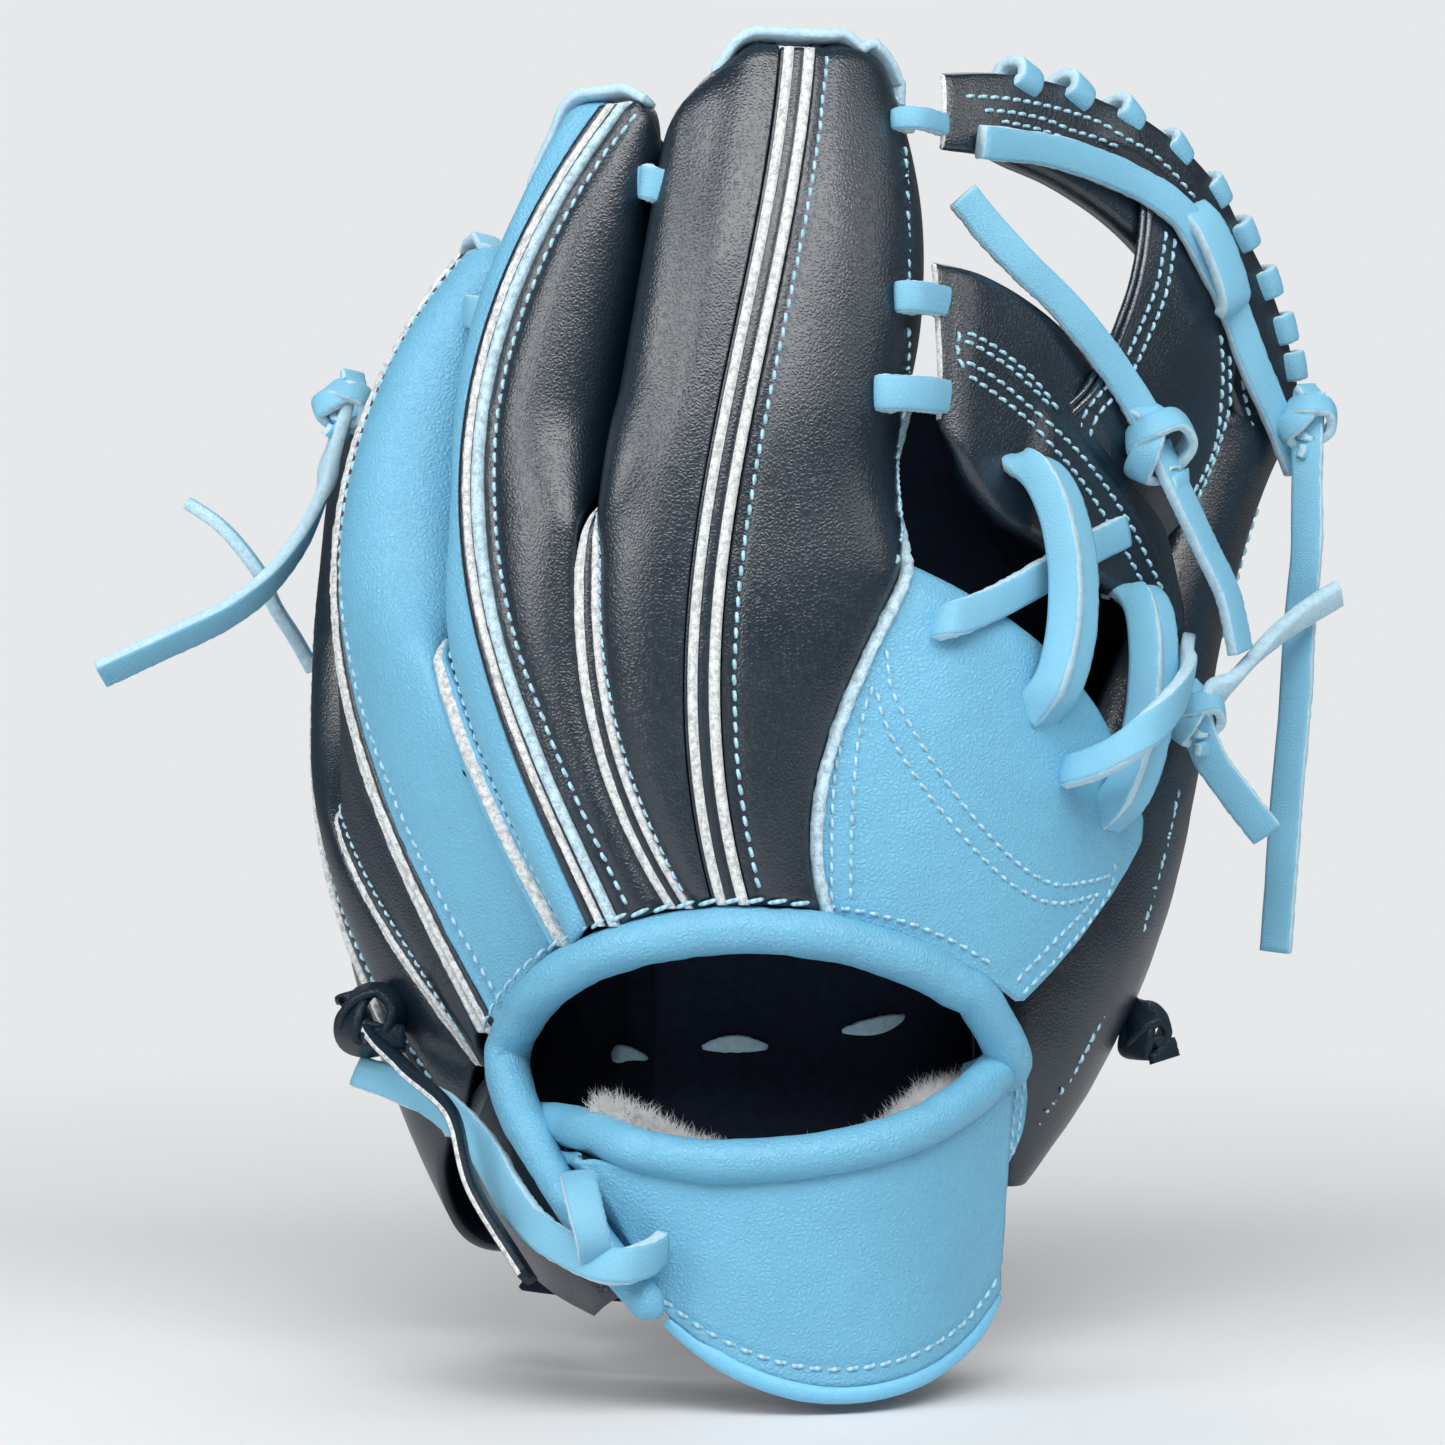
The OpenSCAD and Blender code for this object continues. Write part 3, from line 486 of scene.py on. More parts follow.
def floor_paint(name):
    # Rolled emulsion on board: pale grey with a fine stipple of about 2 mm; far from the glove it is seen
    # to run into the background's own colour
    made, tree, where = new_material(name)
    stipple = add_node(tree, "ShaderNodeTexNoise", {"Vector": where, "Scale": 500.0, "Detail": 2.0})
    base = add_node(tree, "ShaderNodeMix", {0: stipple.outputs["Fac"], 6: colour("floor", 0.98),
                                            7: colour("floor", 1.02)}, data_type="RGBA")
    paint, end = surface(tree, base.outputs[2], 0.85, stipple.outputs["Fac"], 0.02)
    away = add_node(tree, "ShaderNodeVectorMath", {0: where}, operation="LENGTH")
    fade = add_node(tree, "ShaderNodeMapRange",
                    {"Value": away.outputs["Value"], "From Min": 0.22, "From Max": 0.75},
                    interpolation_type="SMOOTHSTEP")
    seen = add_node(tree, "ShaderNodeLightPath").outputs["Is Camera Ray"]
    share = add_node(tree, "ShaderNodeMath", {0: fade.outputs["Result"], 1: seen}, operation="MULTIPLY")
    glow = add_node(tree, "ShaderNodeEmission", {"Color": colour("floor"), "Strength": 1.0})
    both = add_node(tree, "ShaderNodeMixShader", {0: share.outputs[0], 1: paint, 2: glow.outputs[0]})
    tree.links.new(both.outputs[0], end.inputs["Surface"])
    return made


# Name and maker of each finish
FINISHES = {
    "black": ("Black steerhide, pebble printed", black_hide),
    "blue": ("Blue steerhide, dyed full grain", blue_hide),
    "lace": ("Blue rawhide lace, grain side", lace_hide),
    "piping": ("Blue piping leather, skived", piping_hide),
    "black_lace": ("Black rawhide lace, grain side", black_lace_hide),
    "black_piping": ("Black piping leather, rubbed", black_piping_hide),
    "raw": ("Steerhide, raw cut edge", raw_edge),
    "raw_blue": ("Blue steerhide, raw cut edge", blue_raw_edge),
    "flesh": ("Blue rawhide lace, split side", lace_flesh),
    "lining": ("Navy suede lining, worn", lining_suede),
    "felt": ("Wool felt, pressed", wool_felt),
    "fleece": ("Polyester fleece, sheared pile", fleece_pile),
    "thread": ("Bonded polyester thread, waxed", waxed_thread),
    "floor": ("Emulsion paint, rolled", floor_paint),
}


def lumps(points, bump_mm, seed):
    """Smooth random heights from -1 to 1 at points, with bumps of about that size."""
    flat = np.asarray(points, float).reshape(-1, 3)
    away = Vector((seed * 17.3, seed * 5.1, seed * 9.7))
    heights = [noise.noise(Vector(p) / bump_mm + away) for p in flat]
    return np.array(heights).reshape(np.asarray(points).shape[:-1])


class Build:
    """Points, faces and finishes of a piece while it is put together."""

    def __init__(self):
        self.points = []
        self.faces = []
        self.kinds = []
        self.count = 0

    def add(self, points, faces, kinds):
        """Adds points and faces; kinds is one finish or one for each face."""
        points = np.asarray(points, float).reshape(-1, 3)
        self.points.append(points)
        self.faces += [[i + self.count for i in f] for f in faces]
        self.kinds += [kinds] * len(faces) if isinstance(kinds, str) else list(kinds)
        self.count += len(points)

    def piece(self, name, body, stands_for=(), blend=None):
        """Makes the piece, and sets what it rides on and which solids it stands for."""
        mesh = bpy.data.meshes.new(name)
        mesh.from_pydata((np.concatenate(self.points) * MM).tolist(), [], self.faces)
        used = sorted(set(self.kinds))
        for kind in used:
            mesh.materials.append(finish(kind))
        mesh.polygons.foreach_set("material_index", [used.index(k) for k in self.kinds])
        mesh.polygons.foreach_set("use_smooth", [True] * len(self.faces))
        mesh.update()
        made = bpy.data.objects.new(name, mesh)
        bpy.context.scene.collection.objects.link(made)
        if blend:
            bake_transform(made)
        else:
            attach(made, body)
        if stands_for:
            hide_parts(*stands_for)
        return made


class Face:
    """A grid of points on one side of a piece, with the directions out of it."""

    def __init__(self, grid, away):
        self.grid = grid
        n = unit(np.cross(np.gradient(grid, axis=0), np.gradient(grid, axis=1)))
        self.normals = n if np.sum(n * (grid - away)) > 0 else -n

    def raise_by(self, height):
        """Moves the face out by a height at each point."""
        self.grid = self.grid + self.normals * height[..., None]

    def at(self, row, col):
        """Point and direction at fractional rows and columns."""
        rows, cols = self.grid.shape[:2]
        row = np.clip(row, 0, rows - 1.001)
        col = np.clip(col, 0, cols - 1.001)
        i = np.floor(row).astype(int)
        j = np.floor(col).astype(int)
        u = (row - i)[..., None]
        v = (col - j)[..., None]
        both = []
        for g in (self.grid, self.normals):
            both.append(mix(mix(g[i, j], g[i + 1, j], u), mix(g[i, j + 1], g[i + 1, j + 1], u), v))
        return both[0], unit(both[1])

    def beside(self, distance, rows, last=False):
        """Line at a distance from the first or last column, over a share of the rows."""
        g = self.grid[:, ::-1] if last else self.grid
        steps = np.linalg.norm(np.diff(g, axis=1), axis=2)
        run = np.concatenate([np.zeros((len(g), 1)), np.cumsum(steps, axis=1)], axis=1)
        i = np.linspace(rows[0], rows[1], 120) * (len(g) - 1)
        whole = np.round(i).astype(int)
        j = np.array([np.interp(distance, run[w], np.arange(g.shape[1])) for w in whole])
        return self.at(i, g.shape[1] - 1 - j if last else j)

    def seen(self, pixels, step=4.0):
        """Line on the face that lies under a line of the photograph's pixels."""
        p = smooth_path([[x, y, 0] for x, y in pixels], None, step)[:, :2]
        shown = in_frame(self.grid)
        row = np.zeros(len(p))
        col = np.zeros(len(p))
        for n, q in enumerate(p):
            near = np.argmin(np.sum((shown - q) ** 2, -1))
            row[n], col[n] = np.unravel_index(near, shown.shape[:2])
        down = np.gradient(shown, axis=0)
        over = np.gradient(shown, axis=1)
        # A few steps from the nearest grid point to the exact place
        for _ in range(4):
            here = in_frame(self.at(row, col)[0])
            i = np.clip(np.round(row).astype(int), 0, shown.shape[0] - 1)
            j = np.clip(np.round(col).astype(int), 0, shown.shape[1] - 1)
            a = down[i, j]
            b = over[i, j]
            miss = p - here
            area = a[:, 0] * b[:, 1] - a[:, 1] * b[:, 0]
            area = np.where(np.abs(area) < 1e-6, 1e-6, area)
            row = row + np.clip((miss[:, 0] * b[:, 1] - miss[:, 1] * b[:, 0]) / area, -1.5, 1.5)
            col = col + np.clip((a[:, 0] * miss[:, 1] - a[:, 1] * miss[:, 0]) / area, -1.5, 1.5)
        return self.at(row, col)


def in_frame(points):
    """Pixels of the photograph at which points are seen."""
    p = np.asarray(points, float)
    scale = FRAME_PX / FIELD * -EYE[1] / (p[..., 1] - EYE[1])
    across = FRAME_PX / 2 + (p[..., 0] - EYE[0]) * scale
    down = FRAME_PX / 2 - (p[..., 2] - EYE[2]) * scale
    return np.stack([across, down], -1)


def smooth_path(points, count, step=None):
    """A smooth line through points, with equal steps."""
    p = np.asarray(points, float)
    p = np.vstack([2 * p[0] - p[1], p, 2 * p[-1] - p[-2]])
    u = np.linspace(0, 1, 16, endpoint=False)[:, None]
    parts = []
    for a, b, c, d in zip(p, p[1:], p[2:], p[3:]):
        parts.append(0.5 * (2 * b + (c - a) * u + (2 * a - 5 * b + 4 * c - d) * u ** 2
                            + (3 * b - 3 * c + d - a) * u ** 3))
    line = np.vstack(parts + [p[-2:-1]])
    run = np.concatenate([[0], np.cumsum(np.linalg.norm(np.diff(line, axis=0), axis=1))])
    count = count or max(2, int(run[-1] / step) + 1)
    want = np.linspace(0, run[-1], count)
    return np.stack([np.interp(want, run, line[:, i]) for i in range(line.shape[1])], -1)


def headings(path):
    """Direction of a path at each of its points."""
    return unit(np.gradient(path, axis=0))


def square_to(path, wide):
    """Directions of a band's width, square to its path."""
    way = headings(path)
    wide = np.broadcast_to(np.asarray(wide, float), path.shape)
    return unit(wide - way * np.sum(wide * way, -1, keepdims=True))


def tube_faces(count, sides):
    """Faces of a closed tube of count rings."""
    faces = []
    for i in range(count - 1):
        for j in range(sides):
            a = i * sides + j
            b = i * sides + (j + 1) % sides
            faces.append([a, b, b + sides, a + sides])
    faces.append(list(range(sides))[::-1])
    faces.append([(count - 1) * sides + j for j in range(sides)])
    return faces


def outward(points, faces):
    """The faces, turned over if they close the wrong way."""
    p = np.asarray(points, float).reshape(-1, 3)
    total = 0.0
    for f in faces:
        for i in range(1, len(f) - 1):
            total += float(np.dot(np.cross(p[f[0]], p[f[i]]), p[f[i + 1]]))
    return faces if total > 0 else [f[::-1] for f in faces]


# Section of a lace: across, up, and the finish of the side that starts at each point
LACE_SECTION = (
    (-0.47, 0.42, "grain"), (-0.36, 0.50, "grain"), (0.0, 0.53, "grain"), (0.36, 0.50, "grain"),
    (0.47, 0.42, "rim"), (0.5, 0.05, "edge"), (0.49, -0.34, "edge"), (0.42, -0.48, "edge"),
    (0.0, -0.5, "edge"), (-0.42, -0.48, "edge"), (-0.49, -0.34, "edge"), (-0.5, 0.05, "rim"),
)
# How far a lace's cut edges fray, in millimetres, and how much its width changes along it
LACE_FRAY = 0.28
LACE_CHANGE = 0.16
# Finishes of the sides of each kind of lace
BLUE_LACE = {"grain": "lace", "rim": "flesh", "edge": "flesh"}
BLACK_LACE = {"grain": "black_lace", "rim": "raw", "edge": "black_lace"}
SPLIT_LACE = {"grain": "flesh", "rim": "flesh", "edge": "flesh"}
DARK_LACE = {"grain": "black_lace", "rim": "black_lace", "edge": "black_lace"}


def lace(build, path, wide, seed=1, dye=None, width=None, thick=None):
    """A flat lace along a path. Its grain side looks along the path crossed with its width."""
    width = size_mm("lace_w") if width is None else width
    thick = thick or size_mm("lace_t")
    dye = dye or BLUE_LACE
    b = square_to(path, wide)
    n = np.cross(headings(path), b)
    rng = np.random.default_rng(seed)
    rough = LACE_FRAY * rng.random((len(path), len(LACE_SECTION)))
    width = np.broadcast_to(width, (len(path),))
    wave = LACE_CHANGE * lumps(path, 9, seed)
    loops = []
    for i, p in enumerate(path):
        for j, (x, y, kind) in enumerate(LACE_SECTION):
            w = width[i] * (1 + wave[i] * 0.35)
            x_mm = x * w + (0 if kind == "grain" else rough[i, j] - 0.15) * np.sign(x)
            loops.append(p + b[i] * x_mm + n[i] * y * thick)
    faces = tube_faces(len(path), len(LACE_SECTION))
    kinds = []
    for _ in range(len(path) - 1):
        kinds += [dye[kind] for _, _, kind in LACE_SECTION]
    kinds += [dye["edge"], dye["edge"]]
    build.add(loops, outward(loops, faces), kinds)


def tube(build, path, radius, kind, sides=16, seed=None, bumps=0.0, wrinkle_mm=6.0):
    """A round roll along a path; radius may change along it."""
    way = headings(path)
    b = unit(np.cross(way, [0.3, 1, 0.2]))
    n = np.cross(way, b)
    a = np.linspace(0, 2 * math.pi, sides, endpoint=False)
    ring = b[:, None] * np.cos(a)[None, :, None] + n[:, None] * np.sin(a)[None, :, None]
    r = np.broadcast_to(np.asarray(radius, float), (len(path),))[:, None]
    loops = path[:, None] + ring * r[..., None]
    if seed is not None:
        fine = lumps(loops, wrinkle_mm * 0.4, seed + 1)
        r = r + bumps * lumps(loops, wrinkle_mm, seed) + bumps * 0.6 * fine
        loops = path[:, None] + ring * r[..., None]
    points = loops.reshape(-1, 3)
    build.add(points, outward(points, tube_faces(len(path), sides)), kind)


def thick_sheet(build, face, thick, kind, cut, under=None, keep=None, bulge=0.25, first=None):
    """Closed leather under a face, with its cut edges. first is the finish of the edge at row 0."""
    g = face.grid
    rows, cols = g.shape[:2]
    count = rows * cols
    low = g - face.normals * np.broadcast_to(thick, (rows, cols))[..., None]
    keep = np.ones((rows - 1, cols - 1), bool) if keep is None else keep
    ids = np.arange(count).reshape(rows, cols)
    faces = []
    kinds = []
    edges = {}
    for i in range(rows - 1):
        for j in range(cols - 1):
            if keep[i, j]:
                q = [ids[i, j], ids[i + 1, j], ids[i + 1, j + 1], ids[i, j + 1]]
                faces.append(q)
                faces.append([x + count for x in q[::-1]])
                kinds += [kind, under or kind]
                for x, y in zip(q, q[1:] + q[:1]):
                    if (y, x) in edges:
                        del edges[(y, x)]
                    else:
                        edges[(x, y)] = True
    top = g.reshape(-1, 3)
    flat = face.normals.reshape(-1, 3)
    push = np.zeros_like(top)
    for x, y in edges:
        side = np.cross(top[y] - top[x], flat[x])
        push[x] += side
        push[y] += side
    rim = {}
    middle = []
    for x, y in edges:
        for v in (x, y):
            if v not in rim:
                rim[v] = 2 * count + len(middle)
                middle.append((top[v] + low.reshape(-1, 3)[v]) / 2 + unit(push[v]) * bulge)
    for x, y in edges:
        faces.append([y, x, rim[x], rim[y]])
        faces.append([rim[y], rim[x], x + count, y + count])
        kinds += [first if first and max(x, y) < cols else cut] * 2
    points = np.vstack([top, low.reshape(-1, 3), np.array(middle).reshape(-1, 3)])
    test = np.sum(np.cross(g[1, 0] - g[0, 0], g[1, 1] - g[0, 0]) * face.normals[0, 0])
    if test < 0:
        faces = [f[::-1] for f in faces]
        points[2 * count:] -= 2 * bulge * unit(np.array([push[v] for v in rim]))
    build.add(points, faces, kinds)


def sheet_piece(name, body, slot, face, thick, kind, cut=None, blend=None, **sheet):
    """A piece of leather under a face, in the place of the solid of its name."""
    build = Build()
    thick_sheet(build, face, thick, kind, cut or kind, **sheet)
    return build.piece(name, body, (name,), blend)


# A stitch along its length: place, height in thread diameters and fatness
STITCH_SHAPE = ((-1, -0.42, 0.35), (-0.72, 0.1, 0.85), (0, 0.34, 1), (0.72, 0.1, 0.85), (1, -0.42, 0.35))
STITCH_SIDES = 6


def stitches(build, line, pitch=None, length=None, d=None, skew=7.0):
    """A row of sewing stitches along a line of points with directions out of the leather."""
    points, out = line
    pitch = pitch or size_mm("stitch")
    length = length or pitch * 0.78
    d = d or size_mm("thread_d")
    run = np.concatenate([[0], np.cumsum(np.linalg.norm(np.diff(points, axis=0), axis=1))])
    at = np.arange(pitch / 2, run[-1], pitch)
    if not len(at):
        return
    mid = np.stack([np.interp(at, run, points[:, i]) for i in range(3)], -1)
    up = unit(np.stack([np.interp(at, run, out[:, i]) for i in range(3)], -1))
    way = headings(points)
    along = unit(np.stack([np.interp(at, run, way[:, i]) for i in range(3)], -1))
    over = np.cross(up, along)
    turn = math.radians(skew)
    along = along * math.cos(turn) + over * math.sin(turn)
    over = np.cross(up, along)
    a = np.linspace(0, 2 * math.pi, STITCH_SIDES, endpoint=False)
    faces = tube_faces(len(STITCH_SHAPE), STITCH_SIDES)
    first = None
    for m, u, w, v in zip(mid, up, along, over):
        loops = []
        for s, rise, fat in STITCH_SHAPE:
            c = m + w * (s * length / 2) + u * (rise * d)
            r = fat * d / 2
            loops.append(c + np.outer(np.cos(a), v) * r + np.outer(np.sin(a), u) * r)
        loops = np.vstack(loops)
        first = first or outward(loops - m, faces)
        build.add(loops, first, "thread")


# Lights: name, place in metres, width, height and power
LIGHTS = (
    ("key_light", (0.15, -0.85, 0.95), 1.3, 0.55, 14.0),
    ("side_light", (-0.95, -0.7, 0.7), 0.7, 0.7, 8.2),
    ("right_light", (1.1, -0.4, 0.8), 0.5, 0.5, 2.0),
    ("back_light", (0.0, 0.9, 0.9), 0.9, 0.9, 5.0),
)
# What the lights look at, the strength of the light from all round, and the floor's half side, in metres
LIT_POINT = (0, 0, 0.07)
SKY_STRENGTH = 0.13
FLOOR_FAR = 6.0
# Room between the floor and the lowest solid
FLOOR_GAP = 1.0


def make_stage():
    """Camera of the photograph, soft lights and a pale floor."""
    scene = bpy.context.scene
    scene.view_settings.view_transform = "Standard"
    camera = bpy.data.objects.new("camera", bpy.data.cameras.new("camera"))
    camera.data.angle = 2 * math.atan(FIELD / 2 / -EYE[1])
    camera.location = np.array(EYE) * MM
    camera.rotation_euler = (math.pi / 2, 0, 0)
    scene.collection.objects.link(camera)
    scene.camera = camera
    for name, at, wide, tall, power in LIGHTS:
        light = bpy.data.lights.new(name, "AREA")
        light.shape = "RECTANGLE"
        light.size = wide
        light.size_y = tall
        light.energy = power
        lamp = bpy.data.objects.new(name, light)
        lamp.location = at
        lamp.rotation_euler = (Vector(LIT_POINT) - Vector(at)).to_track_quat("-Z", "Y").to_euler()
        scene.collection.objects.link(lamp)
    world = bpy.data.worlds.new("studio")
    world.use_nodes = True
    world.node_tree.nodes.clear()
    tree = world.node_tree
    seen = add_node(tree, "ShaderNodeLightPath").outputs["Is Camera Ray"]
    sky = add_node(tree, "ShaderNodeBackground", {"Color": (1, 1, 1, 1), "Strength": SKY_STRENGTH})
    pale = add_node(tree, "ShaderNodeBackground", {"Color": colour("floor"), "Strength": 1.0})
    both = add_node(tree, "ShaderNodeMixShader", {0: seen, 1: sky.outputs[0], 2: pale.outputs[0]})
    add_node(tree, "ShaderNodeOutputWorld", {"Surface": both.outputs[0]})
    scene.world = world
    low = CAD_BOX[0][2] - FLOOR_GAP * MM
    corners = [(x * FLOOR_FAR, y * FLOOR_FAR, low) for x, y in ((-1, -1), (1, -1), (1, 1), (-1, 1))]
    mesh = bpy.data.meshes.new("floor")
    mesh.from_pydata(corners, [], [[0, 1, 2, 3]])
    mesh.materials.append(finish("floor"))
    made = bpy.data.objects.new("floor", mesh)
    scene.collection.objects.link(made)


# Loose lace ends: name, body, slot, direction of the width, route as in the part's source, and solids
TAILS = (
    ("web_tail_upper", "thumb", "blue_lace", (-0.72, -0.1, -0.66), (
        (84.4, 7.2, 130.4), (80, 6.2, 138), (74, 3.2, 146), (65, -1.8, 156), (56, -5.8, 164),
        (49, -7.8, 171), (43, -9.8, 178)), ("web_tail_upper",)),
    ("web_tail_lower", "thumb", "blue_lace", (0.62, 0.75, 0.2), (
        (85.4, 7.2, 128), (87.5, 7.2, 123), (91, 8, 116), (96, 10, 106), (101, 12, 96), (104, 14, 84)),
     ("web_tail_lower",)),
    ("thumb_tip_tail", "thumb", "blue_lace", (0.9, -0.42, 0), (
        (123, 40.4, 142), (122.6, 40.4, 134), (122.4, 39.4, 122), (122, 38, 106), (120.5, 38, 90),
        (119.5, 38, 72), (118, 39, 54), (117, 41, 36), (116, 43, 18)), ("thumb_tip_tail",)),
    ("thumb_side_lace", "thumb", "blue_lace", (-0.55, 0.35, -0.75), (
        (110.5, 21, 45), (106.5, 18.5, 49.5), (102, 16, 55), (97.5, 14, 61), (95, 12.4, 67), (94.6, 12, 71),
        (97, 12.2, 74.5), (101, 13.5, 76.6), (105, 19, 80), (110, 26, 84.5), (116, 28.5, 89.5),
        (122, 30, 93.5), (128, 31, 97)), ("thumb_side_tail_upper", "thumb_side_tail_lower")),
    ("pinky_tail_long", "hand", "blue_lace", (-0.35, 0.55, -0.75), (
        (-89, 38.5, 144), (-90.5, 38.5, 137), (-93, 39.5, 128), (-96, 43, 119), (-101, 45, 109),
        (-108, 45, 100), (-117, 45, 93), (-130, 44, 86.5), (-145, 43, 79.5)), ("pinky_tail_long",)),
    ("pinky_tail_short", "hand", "blue_lace", (0.0, -1.0, 0.0), (
        (-101, 66, 82), (-104, 62, 88), (-108, 58, 95), (-111, 56, 102), (-116, 55, 109), (-121, 55, 114),
        (-127, 56, 118)), ("pinky_tail_short",)),
    ("heel_tail", "hand", "black_lace", (0.0, -1.0, 0.0), (
        (-84.2, 9.6, 9), (-80.2, 1.6, 3), (-72, -12, -3), (-62, -26, -10.5), (-56.5, -38.5, -24),
        (-45, -50, -40)), ("heel_tail",)),
)
# Points along a loose end as it is drawn, and the thickness of the black one
TAIL_RINGS = 90
BLACK_TAIL_T = 2.4


def make_tails():
    """The loose ends of lace, each along its own route."""
    for number, (name, body, slot, wide, route, nodes) in enumerate(TAILS):
        build = Build()
        black = slot == "black_lace"
        lace(build, smooth_path(route, TAIL_RINGS), wide, seed=20 + number,
             dye=BLACK_LACE if black else BLUE_LACE, thick=BLACK_TAIL_T if black else None)
        made = build.piece(name, body, nodes)
        size_mm("lace_w") * MM


# Grid of a finger's back: shares of its length, angles from its ridge to its seam, and steps over its tip
FINGER_ROWS = np.linspace(0, 1, 74)
LAST_ROW = len(FINGER_ROWS) - 1
FINGER_COLS = np.array([0, 0.3, 0.8, 1.4, 2.1, 3, 4.2, 6, 9, 13, 17.5, 22, 27, 32, 37, 42, 47, 52, 57, 62,
                        67, 71.5, 76, 79.5, 82.5, 85, 87, 88.5, 89.4, 90])
TIP_STEPS = (0.2, 0.45, 0.7, 0.88, 1.0)
BLUE_PANELS = ("ring_inner_panel", "middle_outer_panel")
# Where the fingers press on each other: height, then where it rises and falls off across and along the panel
SWELLS = {
    (2, 0): ((-4.5, (6, 34, 91, 92), (0.68, 0.92, 1.1, 1.2)),),
    (3, 1): ((-4.4, (16, 60, 91, 92), (0.40, 0.56, 1.1, 1.2)),),
    (3, 0): ((4.6, (22, 58, 84, 91), (0.40, 0.56, 0.90, 0.98)),
             (-4.0, (8, 40, 91, 92), (0.88, 0.99, 1.1, 1.2))),
}
# Faces that later pieces lie on, by the name of their piece
FACES = {}


def axis_at(grid):
    """The pocket axis at the heights of a grid's points."""
    away = np.array(grid)
    away[..., 0] = POCKET_X
    away[..., 1] = POCKET_Y
    return away


def finger_face(f, side):
    """Outer side of a finger's back, closed over at the tip."""
    q = back_point(f, side, FINGER_COLS[None, :], FINGER_ROWS[:, None])
    rows = [q]
    for step in TIP_STEPS:
        tip = q[-1:].copy()
        tip[..., 1] -= step * (TIP_DEPTH - size_mm("leather_t")) * np.cos(np.radians(FINGER_COLS))
        tip[..., 2] += 2.0 * math.sin(step * math.pi / 2) * np.cos(np.radians(FINGER_COLS))
        rows.append(tip)
    grid = place(np.concatenate(rows))
    face = Face(grid, axis_at(grid))
    steps = np.linalg.norm(np.diff(grid, axis=1), axis=2)
    run = np.concatenate([np.zeros((len(grid), 1)), np.cumsum(steps, axis=1)], axis=1)
    seed = 3 * f + side
    t = np.linspace(0, 1, len(grid))[:, None]
    body = 0.8 * (1 - np.exp(-(run / 5) ** 2))
    if side:
        body = body - 0.45 * np.exp(-((run - 2.5) / 0.8) ** 2)
    pucker = np.exp(-(run / 6) ** 2) * 0.22 * lumps(grid * [1.6, 1.6, 1], 2.6, seed)
    inside = 1 - smooth(66, 86, FINGER_COLS)
    folds = lumps(grid * [1, 1, 0.5], 16, seed + 30) * (0.35 + 0.35 * (1 - t)) * inside
    face.raise_by(body + pucker + folds)
    for swell, across, along in SWELLS.get((f, side), ()):
        share = smooth(across[0], across[1], FINGER_COLS) * (1 - smooth(across[2], across[3], FINGER_COLS))
        face.raise_by(swell * share * smooth(along[0], along[1], t) * (1 - smooth(along[2], along[3], t)))
    return face


# Distance of each finger's row of stitches from its ridge welt
ROW_OFF = (2.5, 4.6, 2.5, 2.5)
# Stitches along the index finger's far side, in the photograph's pixels
INDEX_SIDE_ROW = ((902, 96), (907, 200), (908, 330), (906, 430), (902, 520), (897, 560))


def make_fingers():
    """Eight finger backs with a row of stitches beside each ridge welt."""
    for f, finger in enumerate(FINGERS):
        for side, word in enumerate(("outer", "inner")):
            name = f"{finger}_{word}_panel"
            dye = "blue" if name in BLUE_PANELS else "black"
            face = finger_face(f, side)
            FACES[name] = face
            sheet_piece(name, "hand", f"{dye}_leather", face, size_mm("leather_t"), dye, under="lining")
    rows = Build()
    for f, finger in enumerate(FINGERS):
        face = FACES[f"{finger}_inner_panel"]
        stitches(rows, face.beside(ROW_OFF[f], (0.015, 0.93)))
    index = FACES["index_inner_panel"]
    stitches(rows, index.seen(INDEX_SIDE_ROW))
    for k, finger in ((1, "ring"), (2, "middle"), (3, "index")):
        face = FACES[f"{finger}_outer_panel"]
        stitches(rows, face.beside(2.2, (0.02, CROTCHES[k] * 0.92), last=True), pitch=2.7, d=0.7)
    rows.piece("finger_stitches", "hand")


# Bands of each welt from left to right: width, finish and height over the panels
RIDGE_BANDS = (
    ((2.0, "raw", 1.3), (1.8, "black", 0.7), (2.0, "raw", 1.3), (1.2, "black", 0.3)),
    ((1.0, "black", 0.3), (2.0, "raw", 1.4), (0.6, "black", 0.7), (2.0, "raw", 1.4), (1.4, "blue", 0.4)),
    ((2.5, "raw_blue", 1.5), (0.5, "black", 0.8), (1.9, "raw", 1.5), (2.1, "black", 0.5)),
    ((2.2, "raw", 1.5), (2.2, "black", 0.8), (2.0, "raw", 1.5), (0.6, "black", 0.2)),
)
CROTCH_BANDS = {
    1: ((1.0, "black", 0.3), (1.9, "raw", 1.4), (0.6, "black", 0.7), (1.7, "raw", 1.3), (0.8, "black", 0.3)),
    2: ((0.9, "blue", 0.3), (3.4, "raw", 1.5), (1.7, "blue", 0.3)),
    3: ((2.1, "raw", 1.5), (1.6, "black", 0.7), (2.1, "raw", 1.5), (0.2, "black", 0.2)),
}
# How far each crotch welt stands out of its valley
WELT_LIFT = {1: 0.6, 2: 1.8, 3: 0.6}
# How deep a welt is sewn in below the panels
WELT_SUNK = 2.2


